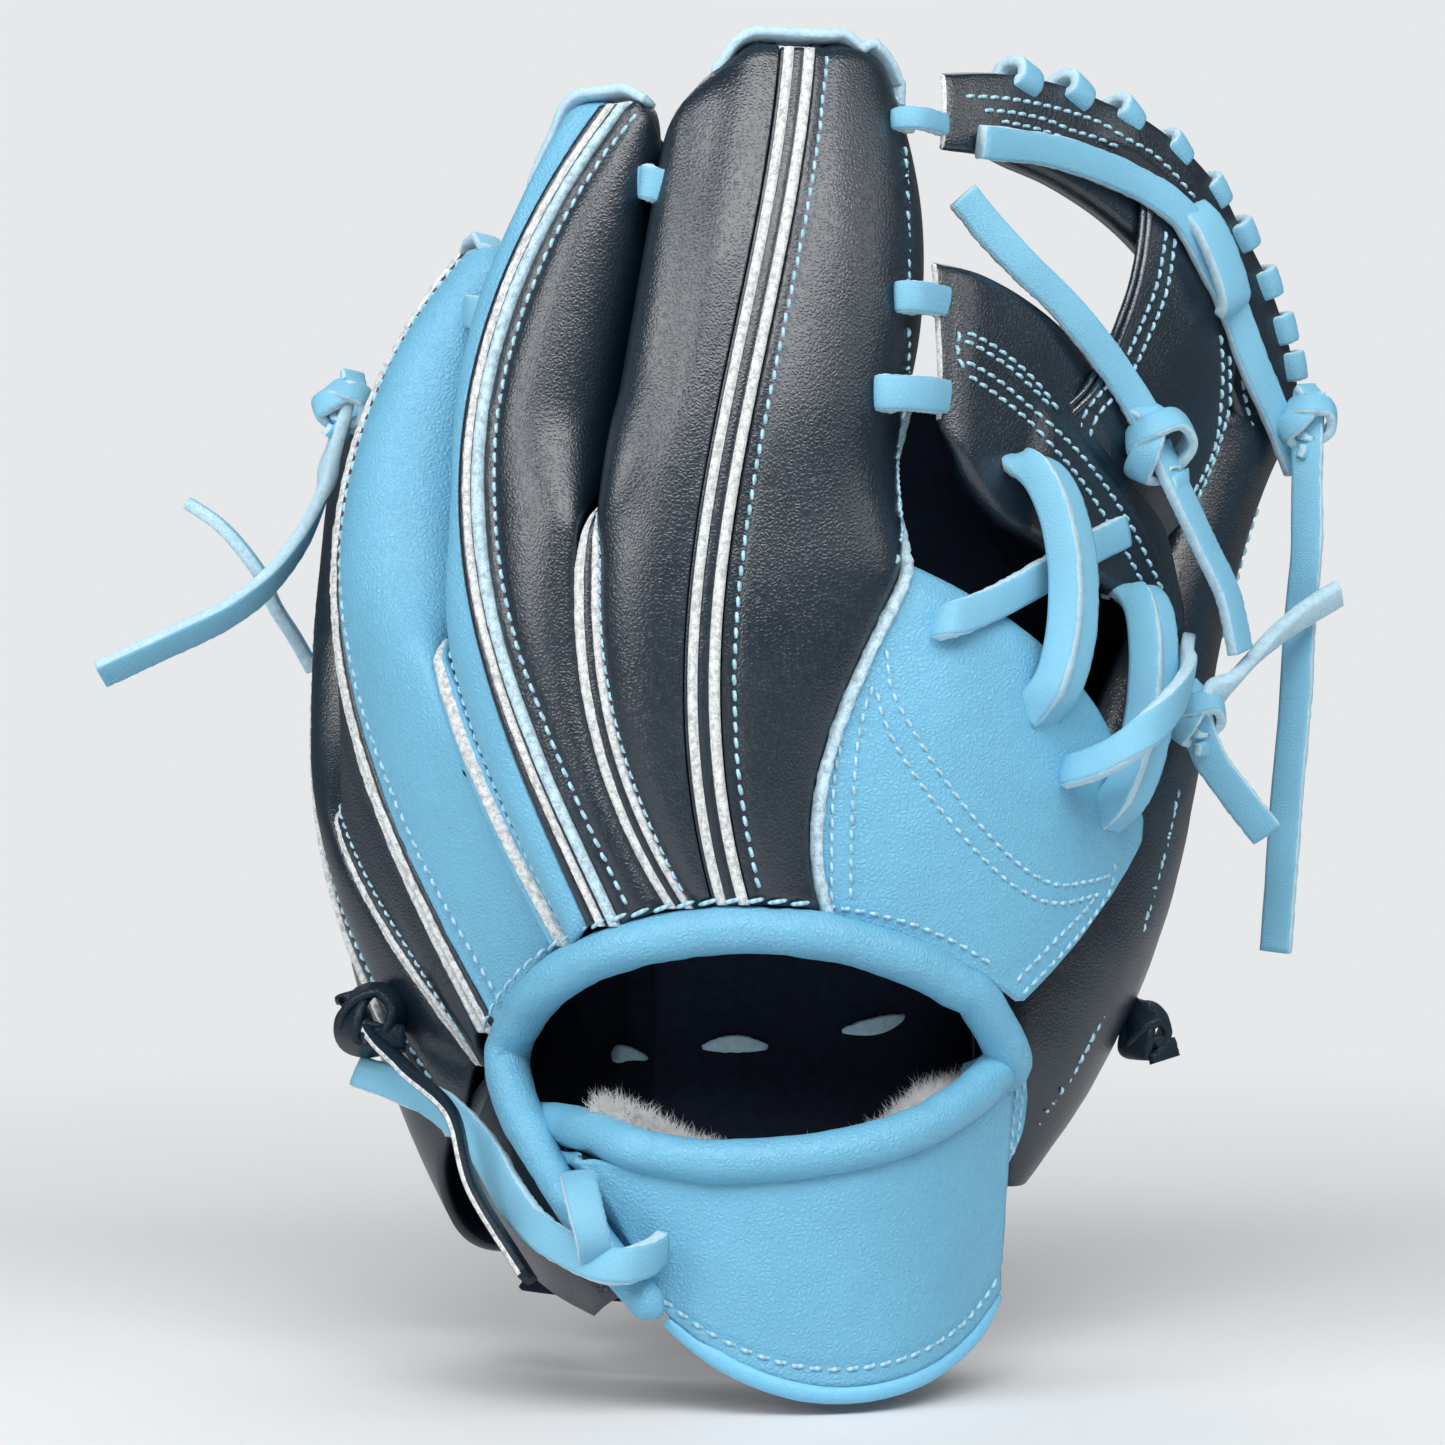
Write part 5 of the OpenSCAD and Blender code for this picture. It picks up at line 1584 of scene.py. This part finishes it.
# Each bar is slit along this share of its width, from one row to another, and the post goes in there
SLIT = 0.42
TOP_SLIT = (0.33, 0.62)
LOW_SLIT = (0.36, 1.2)
# Where the bars start beside the index finger, as a share of their length
TOP_START = 0.01
LOW_START = -0.03
# Rows and columns of the web's grids
WEB_LONG = 60
WEB_ACROSS = 24


def web_line(x):
    """Height of the line between the tips of index finger and thumb."""
    return mix(TIPS[3] + 4, THUMB_TIP, (x - 40) / 80)


def web_point(q, lift):
    """A point of the web from its x and its height over the line between index and thumb tips."""
    q = np.asarray(q, float)
    x = q[..., 0]
    z = web_line(x) + q[..., 1]
    near = -32 + 0.25 * (z - 123)
    far_x = 92 + 0.444 * (z - 95)
    far_y = 28 + 0.444 * (z - 95)
    y = mix(near, far_y, (x - 32) / (far_x - 32))
    return np.stack([x, y, z], -1) + WEB_NORMAL * np.asarray(lift, float)[..., None]


def web_face(upper, lower, first, last):
    """Front of a bar or of the post, between its two edges."""
    t = np.linspace(first, last, WEB_LONG)
    lift = np.full(WEB_LONG, -WEB_T / 2)
    cols = [web_point(mix(bezier(upper, t), bezier(lower, t), j), lift)
            for j in np.linspace(0, 1, WEB_ACROSS)]
    grid = np.stack(cols, 1)
    return Face(grid, grid + WEB_NORMAL)


# Rows of stitches on the web, in the photograph's pixels
WEB_ROWS = {
    "web_top_bar": (
        ((964, 96), (1010, 99), (1055, 108), (1098, 122), (1125, 138), (1150, 152), (1170, 170), (1190, 193),
         (1199, 206)),
        ((983, 110), (1015, 113), (1046, 120), (1070, 130), (1096, 138), (1115, 146)),
        ((1000, 121), (1040, 130), (1075, 143), (1098, 154), (1112, 160)),
        ((1240, 365), (1245, 400), (1253, 432)),
    ),
    "web_lower_bar": (
        ((966, 332), (990, 344), (1017, 364), (1041, 388), (1056, 408)),
        ((963, 340), (981, 349), (1011, 369), (1037, 393), (1049, 406)),
        ((965, 361), (996, 379), (1026, 404), (1060, 434), (1094, 471), (1130, 525), (1152, 570),
         (1168, 607), (1178, 655)),
        ((968, 375), (996, 395), (1025, 418), (1048, 442), (1078, 477), (1102, 513), (1127, 555),
         (1150, 600), (1166, 640)),
        ((959, 330), (957, 353), (965, 372)),
    ),
    "web_post": (
        ((1166, 230), (1158, 278), (1145, 315), (1119, 370), (1089, 406), (1078, 430)),
        ((1175, 237), (1167, 287), (1155, 321), (1127, 381), (1099, 413), (1088, 438)),
        ((1220, 333), (1222, 370), (1220, 411), (1215, 445), (1204, 473), (1190, 497)),
        ((1229, 354), (1229, 411), (1223, 446), (1214, 473), (1200, 500)),
    ),
}
# Finish, radius and place beside the edge of the two rolls on the post's near edge
POST_PIPING = (("black_piping", 0.95, 0.3), ("black_piping", 0.75, -1.5))
POST_T = 2.4
# Half the length over which a slit's lip rises, as a share of the bar's length
LIP_RISE = 0.04


def make_web():
    """Two slit bars and the post that goes into both, sewn in double rows, with piping on its near edge."""
    rows = Build()
    t = np.linspace(0, 1, WEB_LONG)[:, None]
    cols = np.linspace(0, 1, WEB_ACROSS)[None, :]
    for name, upper, lower, first, last in (
            ("web_top_bar", TOP_UPPER, TOP_LOWER, TOP_START, 1.08),
            ("web_lower_bar", LOW_UPPER, LOW_LOWER, LOW_START, 1.14),
            ("web_post", POST_LEFT, POST_RIGHT, 0.0, 1.0)):
        post = name == "web_post"
        face = web_face(upper, lower, first, last)
        share = mix(first, last, t)
        rise = 0.8 * np.sin(math.pi * cols) ** 0.6 + 0.35 * lumps(face.grid, 14, 61)
        if post:
            thick = POST_T
            rise = rise + 3.2 * smooth(0, 0.1, share) * (1 - smooth(0.88, 1, share)) - 1.2
        else:
            thick = mix(1.5, WEB_T, smooth(0, 0.16, t))
            top = name == "web_top_bar"
            slit = TOP_SLIT if top else LOW_SLIT
            lip = smooth(SLIT - 0.03, SLIT + 0.03, cols)
            lip = (1 - lip if top else lip) * smooth(slit[0] - LIP_RISE, slit[0] + LIP_RISE, share)
            end = smooth(slit[1] - LIP_RISE, slit[1] + LIP_RISE, share)
            rise = rise - 2.4 * np.exp(-(t / 0.05) ** 2) + 1.5 * lip * (1 - end)
        face.raise_by(rise)
        build = Build()
        thick_sheet(build, face, thick, "black", "black", bulge=0.7, first="black" if post else "raw")
        if post:
            side = unit(face.grid[:, 1] - face.grid[:, 0])
            for kind, radius, inset in POST_PIPING:
                edge = face.grid[:, 0] + side * inset - face.normals[:, 0] * 0.2
                tube(build, smooth_path(edge, 90), radius, kind, sides=12, seed=62, bumps=0.1, wrinkle_mm=5)
        build.piece(name, "thumb", (name,))
        for pixels in WEB_ROWS[name]:
            stitches(rows, face.seen(pixels), pitch=3.0, length=2.4)
    rows.piece("web_stitches", "thumb")


# Turns of lace over the top bar's edge, as shares of its length
WRAPS = (0.135, 0.235, 0.345, 0.465, 0.58, 0.68, 0.78, 0.866, 0.932)
# Route of the lace that spans the web's window
SPAN_ROUTE = (
    (44, -18), (60, -3), (75.7, 8), (87, 12), (94.3, 8.7), (99.8, 4.2), (105.3, -3.6), (111.8, -10),
    (116.2, -15),
)
# A turn of lace over the one that spans the web: where, and its height over the bar
SPAN_TURN = ((90.2, 15.8, 5), (91.5, 13.6, 7.8), (94.6, 8.9, 8.8), (97.7, 4.1, 8.2), (98.8, 2.4, 5.6))


def lace_lift():
    """Height of a lace's middle over the leather it lies on."""
    return size_mm("lace_t") / 2 + SEAM_GAP


def make_web_laces():
    """Turns of lace over the web's outer edge and the lace that spans its window."""
    build = Build()
    r = WEB_T / 2 + lace_lift() - SEAM_GAP
    for number, t in enumerate(WRAPS):
        e = web_point(bezier(TOP_UPPER, t), 0.0)
        out = unit(e - web_point(bezier(TOP_LOWER, t), 0.0))
        a = np.radians(np.linspace(0, 180, 13))[:, None]
        arch = e + (out * np.sin(a) * 0.75 - WEB_NORMAL * np.cos(a)) * r
        legs = [e - out * 1.8 + WEB_NORMAL * side * (r - 0.2) for side in (-1, 1)]
        holes = [e - out * 3.4 + WEB_NORMAL * side * (r - 3.0) for side in (-1, 1)]
        path = np.vstack([holes[:1], legs[:1], arch, legs[1:], holes[1:]])
        lace(build, smooth_path(path, 34), np.cross(out, WEB_NORMAL), seed=70 + number, width=6.6, thick=2.6)
    build.piece("web_edge_wraps", "thumb", ("web_edge_wraps",))
    build = Build()
    route = np.array(SPAN_ROUTE)
    lift = -WEB_T / 2 - lace_lift() - 3.4 * smooth(72, 82, route[:, 0])
    path = smooth_path(web_point(route, lift), 70)
    lace(build, path, [0.3, 0, 1], seed=80)
    turn = np.array([web_point(q[:2], -WEB_T / 2 - q[2]) for q in SPAN_TURN])
    lace(build, smooth_path(turn, 30), [0.69, 0.6, 0.4], seed=81, width=8.6, thick=3.2)
    build.piece("web_span_lace", "thumb", ("web_span_lace",))


# Ties between fingers: shares of the two fingers' lengths, and how many seam gaps the lace stands off
TIES = ((0.86, 0.76, 3), (0.93, 0.83, 1), (0.93, 0.875, 1))
# Laces over the tips: finger, and the angles across it at which the lace goes in
TIP_ENDS = ((0, -56, 40), (1, -56, 22), (2, -56, 4), (3, -42, 16), (3, 24, 62))
# Row of a finger's grid that they lie on, and their width and thickness
TIP_ROW = 75.4
TIP_LACE_W = 6.2
TIP_LACE_T = 2.0
# Columns of the two panels at which a tie between fingers goes in
TIE_COLS = (19, 18)
# Laces from the index finger to the web: height below the tip and width
WEB_TIES = ((-14, 4.6), (-52, 6.6), (-72, 7.4))
WEB_TIE_COL = 12.6
# Where they lie beside the web's edge and where they end in it: across, and behind the middle of the bar
WEB_TIE_ENDS = ((33.6, -1.8), (39.5, 0.6))
# Points from the hand to the thumb, given to these laces
WEB_TIE_BEND = ((30, -30, 150), (48, -20, 150))


def led_in(path, first, last, step):
    """A lace's path with its two ends led on into the leather."""
    return smooth_path(np.vstack([[path[0] + first], path[::step], [path[-1] + last]]), 60)


def make_tip_laces():
    """Laces over the fingertips."""
    build = Build()
    for number, (f, first, last) in enumerate(TIP_ENDS):
        edge = []
        for w in np.linspace(first, last, 25):
            face = FACES[f"{FINGERS[f]}_outer_panel" if w < 0 else f"{FINGERS[f]}_inner_panel"]
            col = np.interp(abs(w), FINGER_COLS, np.arange(len(FINGER_COLS)))
            edge.append(face.at(np.array(TIP_ROW), col)[0])
        edge = smooth_path(edge[::3], 40)
        way = headings(edge)
        n = np.cross(way, unit(edge - axis_at(edge)))
        n = np.where(n[:, 2:] > 0, n, -n)
        edge = edge + n * (TIP_LACE_T / 2 + SEAM_GAP)
        path = led_in(edge, -n[0] * 2.6 - way[0] * 2, -n[-1] * 2.6 + way[-1] * 2, 4)
        wide = -unit(path - axis_at(path)) - np.array([0, 0, 0.2])
        lace(build, path, wide, seed=90 + number, width=TIP_LACE_W, thick=TIP_LACE_T)
    build.piece("fingertip_laces", "hand", ("fingertip_laces",))


def make_finger_ties():
    """Short laces from finger to finger."""
    build = Build()
    for f, (low, high, gaps) in enumerate(TIES):
        first = FACES[f"{FINGERS[f]}_inner_panel"].at(np.array(low * LAST_ROW), np.array(TIE_COLS[0]))
        last = FACES[f"{FINGERS[f + 1]}_outer_panel"].at(np.array(high * LAST_ROW), np.array(TIE_COLS[1]))
        over = (first[1] + last[1]) * (1.4 + gaps * SEAM_GAP)
        path = [first[0] - first[1] * 3, first[0] + first[1] * 1.3, (first[0] + last[0]) / 2 + over,
                last[0] + last[1] * 1.3, last[0] - last[1] * 3]
        lace(build, smooth_path(path, 34), [0, 0, 1], seed=100 + f)
    build.piece("finger_tie_laces", "hand", ("finger_tie_laces",))


def make_web_ties():
    """Laces from the index finger to the web."""
    build = Build()
    for number, (drop, width) in enumerate(WEB_TIES):
        z = TIPS[3] + drop
        t = np.array((z - rim_z(0)) / (TIPS[3] - rim_z(0)))
        a = FACES["index_inner_panel"].at(t * LAST_ROW, np.array(WEB_TIE_COL))[0]
        b, end = (web_point([x, z - web_line(x)], lift) for x, lift in WEB_TIE_ENDS)
        path = np.array([a + [2.5, 3, 0], a + [0, -1.6, 0], (a + b) / 2 + [0, -2.4, 0], b, end])
        path[:, 2] = z
        lace(build, smooth_path(path, 34), [0, 0, 1], seed=110 + number, width=width)
    build.piece("web_index_laces", None, ("web_index_laces",), blend=WEB_TIE_BEND)


# Control points of the laces between the web and the thumb's back, where they lie in pairs and where singly
CROTCH_PAIRS = (
    ((55.2, -14.7, 122.5), (64, -24, 122), (70, -28, 86), (57.1, -30.9, 70)),
    ((80.8, 7.9, 96.6), (86, -2, 96), (84, -14, 60), (72.4, -16.2, 48.7)),
)
CROTCH_SINGLES = (
    ((38, -38.5, 89), (50, -35, 92), (66, -8, 104), (75.3, 3.2, 107.8)),
    ((64.3, -25.7, 59.1), (76, -42, 62), (94, -26, 80), (90.7, 18.9, 83.4)),
)
PAIR_WIDE = np.array([0.75, 0.65, 0])
# How far a pair's laces go into the leather at either end, and points from the hand to the thumb given to
# all of them
PAIR_ENDS = ((-1.5, 5, -0.5), (-1.5, 5, -1))
SINGLE_ENDS = ((-2, 4.5, -0.5), (3, 4, 1.5))
CROTCH_BEND = ((30, -35, 80), (75, 0, 80))


def make_crotch_laces():
    """Pairs of laces between the web and the back of the thumb, with a single one across each."""
    build = Build()
    t = np.linspace(0, 1, 40)
    half = size_mm("lace_w") * 0.36
    for number, points in enumerate(CROTCH_PAIRS):
        path = bezier(points, t)
        across = square_to(path, PAIR_WIDE)
        left = led_in(path - across * half, *PAIR_ENDS, 5)
        right = led_in(path + across * half, *PAIR_ENDS, 5)
        lace(build, left, PAIR_WIDE - np.array([0.2, 1.0, 0]), seed=130 + number)
        lace(build, right, PAIR_WIDE, seed=132 + number)
    for number, points in enumerate(CROTCH_SINGLES):
        path = led_in(bezier(points, t), *SINGLE_ENDS, 5)
        lace(build, path, [0.2, 0.3, 0.9], seed=134 + number)
    build.piece("crotch_laces", None, ("crotch_laces",), blend=CROTCH_BEND)


# The lace that ties the strap, from the heel's knot to its end
STRAP_LACE = (
    (-84, 10, -5.5), (-75, 1, -7.5), (-65, -10, -11), (-56, -22, -17.5), (-48.6, -37, -26.5),
    (-42, -52, -31), (-33.5, -61, -34.5), (-27, -65.5, -35.5), (-21.5, -62.5, -34.5), (-18.5, -57, -33),
)
# A short turn of the same lace round the falling end of the roll
ROLL_TURN = ((-35, -53, -20), (-34.2, -60, -21.5), (-32.8, -64.5, -26), (-31.5, -65, -31), (-31, -60, -36))


def make_strap_lace():
    """Lace that ties the strap at the little finger's side."""
    build = Build()
    lace(build, smooth_path(STRAP_LACE, 90), [0.3, 0.3, 1], seed=120)
    lace(build, smooth_path(ROLL_TURN, 40), [1, 0.2, 0.1], seed=121)
    build.piece("strap_lace", "hand", ("strap_lace",))


# An overhand knot, seen from in front: right, up and towards the eye
KNOT_LINE = (
    (0.5, 9, -1.0), (-1.0, 5.5, 1.5), (2.8, 1.2, 3.6), (6.0, -2.6, 0.6), (1.2, -4.6, -3.4),
    (-5.6, -1.6, -1.4), (-5.0, 3.4, 2.2), (0.4, 4.4, 3.6), (4.4, 3.4, -0.4), (2.2, -0.6, -2.4),
    (-0.6, -5.2, 0.4), (0.4, -9, 0.4),
)
KNOT_LACE_T = 2.2
# Knots: name, body, slot, place, the way that the lace runs through, size and width of the lace
KNOTS = (
    ("web_knot", "thumb", "blue_lace", (86, 7.2, 127), (0.5, 0.1, -1), 1.15, 6.2),
    ("thumb_tip_knot", "thumb", "blue_lace", (122.6, 40.4, 135), (0, 0, -1), 0.9, 5.6),
    ("thumb_side_knot", "thumb", "blue_lace", (94.5, 12, 69.4), (0.25, 0.15, -1), 0.85, 5.4),
    ("thumb_heel_knot", "thumb", "black_lace", (84.6, 19, 1.7), (0.6, -0.2, -0.8), 0.75, 8.0),
    ("pinky_tip_knot", "hand", "blue_lace", (-90.5, 38.5, 138.5), (-0.3, 0, -1), 0.85, 5.6),
    ("heel_knot", "hand", "black_lace", (-81.2, 5.6, 6), (0.45, -0.7, -0.65), 1.0, 10.0),
)


def make_knots():
    """Overhand knots where the loose ends leave the glove."""
    for number, (name, body, slot, at, axis, scale, width) in enumerate(KNOTS):
        down = unit(axis)
        front = unit(np.array([0, -1, 0]) - down * -down[1])
        right = np.cross(front, -down)
        line = np.array(KNOT_LINE) * scale
        points = np.array(at) + line[:, :1] * right - line[:, 1:2] * down + line[:, 2:] * front
        path = smooth_path(points, 110)
        out = unit(path - np.array(at) + front * 1.5)
        wide = np.cross(out, headings(path))
        build = Build()
        dye = DARK_LACE if slot == "black_lace" else BLUE_LACE
        lace(build, path, wide, seed=140 + number, dye=dye, width=width, thick=KNOT_LACE_T)
        build.piece(name, body, (name,))


class GLOVE_OT_stage(bpy.types.Operator):
    """Set the camera, the lights and the floor"""
    bl_idname = "glove.stage"
    bl_label = "Stage"

    def execute(self, context):
        make_stage()
        return {"FINISHED"}


class GLOVE_OT_tails(bpy.types.Operator):
    """Make the loose ends of lace"""
    bl_idname = "glove.tails"
    bl_label = "Loose lace ends"

    def execute(self, context):
        make_tails()
        return {"FINISHED"}


class GLOVE_OT_palm(bpy.types.Operator):
    """Make the palm leather, the felt and the linings"""
    bl_idname = "glove.palm"
    bl_label = "Palm"

    def execute(self, context):
        make_palm()
        make_linings()
        return {"FINISHED"}


class GLOVE_OT_fingers(bpy.types.Operator):
    """Make the finger backs"""
    bl_idname = "glove.fingers"
    bl_label = "Finger backs"

    def execute(self, context):
        make_fingers()
        return {"FINISHED"}


class GLOVE_OT_welts(bpy.types.Operator):
    """Make the ridge and crotch welts"""
    bl_idname = "glove.welts"
    bl_label = "Welts"

    def execute(self, context):
        make_welts()
        return {"FINISHED"}


class GLOVE_OT_thumb(bpy.types.Operator):
    """Make the thumb's back panel, its stall, its lining and the strip on which it folds"""
    bl_idname = "glove.thumb"
    bl_label = "Thumb"

    def execute(self, context):
        make_thumb_back()
        make_thumb()
        make_thumb_lining()
        make_crease()
        return {"FINISHED"}


class GLOVE_OT_opening(bpy.types.Operator):
    """Make the padded roll round the opening, the strap and the heel"""
    bl_idname = "glove.opening"
    bl_label = "Opening and strap"

    def execute(self, context):
        make_opening()
        make_strap()
        make_strap_rolls()
        make_strap_tab()
        make_fleece()
        make_heel()
        return {"FINISHED"}


class GLOVE_OT_web(bpy.types.Operator):
    """Make the web's bars and post"""
    bl_idname = "glove.web"
    bl_label = "Web"

    def execute(self, context):
        make_web()
        return {"FINISHED"}


class GLOVE_OT_laces(bpy.types.Operator):
    """Make the lacing and the knots"""
    bl_idname = "glove.laces"
    bl_label = "Laces and knots"

    def execute(self, context):
        make_web_laces()
        make_tip_laces()
        make_finger_ties()
        make_web_ties()
        make_crotch_laces()
        make_strap_lace()
        make_knots()
        return {"FINISHED"}


OPERATORS = (GLOVE_OT_stage, GLOVE_OT_tails, GLOVE_OT_palm, GLOVE_OT_fingers, GLOVE_OT_welts, GLOVE_OT_thumb,
             GLOVE_OT_opening, GLOVE_OT_web, GLOVE_OT_laces)


class GLOVE_PT_panel(bpy.types.Panel):
    """Sizes, colours and pieces of the glove"""
    bl_idname = "GLOVE_PT_panel"
    bl_label = "Glove"
    bl_space_type = "VIEW_3D"
    bl_region_type = "UI"
    bl_category = "Glove"

    def draw(self, context):
        for group in (context.scene.glove_sizes, context.scene.glove_colours):
            box = self.layout.box()
            for name in group.__annotations__:
                box.prop(group, name)
        for operator in OPERATORS:
            self.layout.operator(operator.bl_idname)


CLASSES = (GloveSizes, GloveColours) + OPERATORS + (GLOVE_PT_panel,)


def register():
    for made in CLASSES:
        bpy.utils.register_class(made)
    bpy.types.Scene.glove_sizes = PointerProperty(type=GloveSizes)
    bpy.types.Scene.glove_colours = PointerProperty(type=GloveColours)


def unregister():
    del bpy.types.Scene.glove_colours
    del bpy.types.Scene.glove_sizes
    for made in reversed(CLASSES):
        bpy.utils.unregister_class(made)


def main():
    register()
    bpy.ops.glove.stage()
    bpy.ops.glove.tails()
    bpy.ops.glove.palm()
    bpy.ops.glove.fingers()
    bpy.ops.glove.welts()
    bpy.ops.glove.thumb()
    bpy.ops.glove.opening()
    bpy.ops.glove.web()
    bpy.ops.glove.laces()


if __name__ == "__main__":
    main()
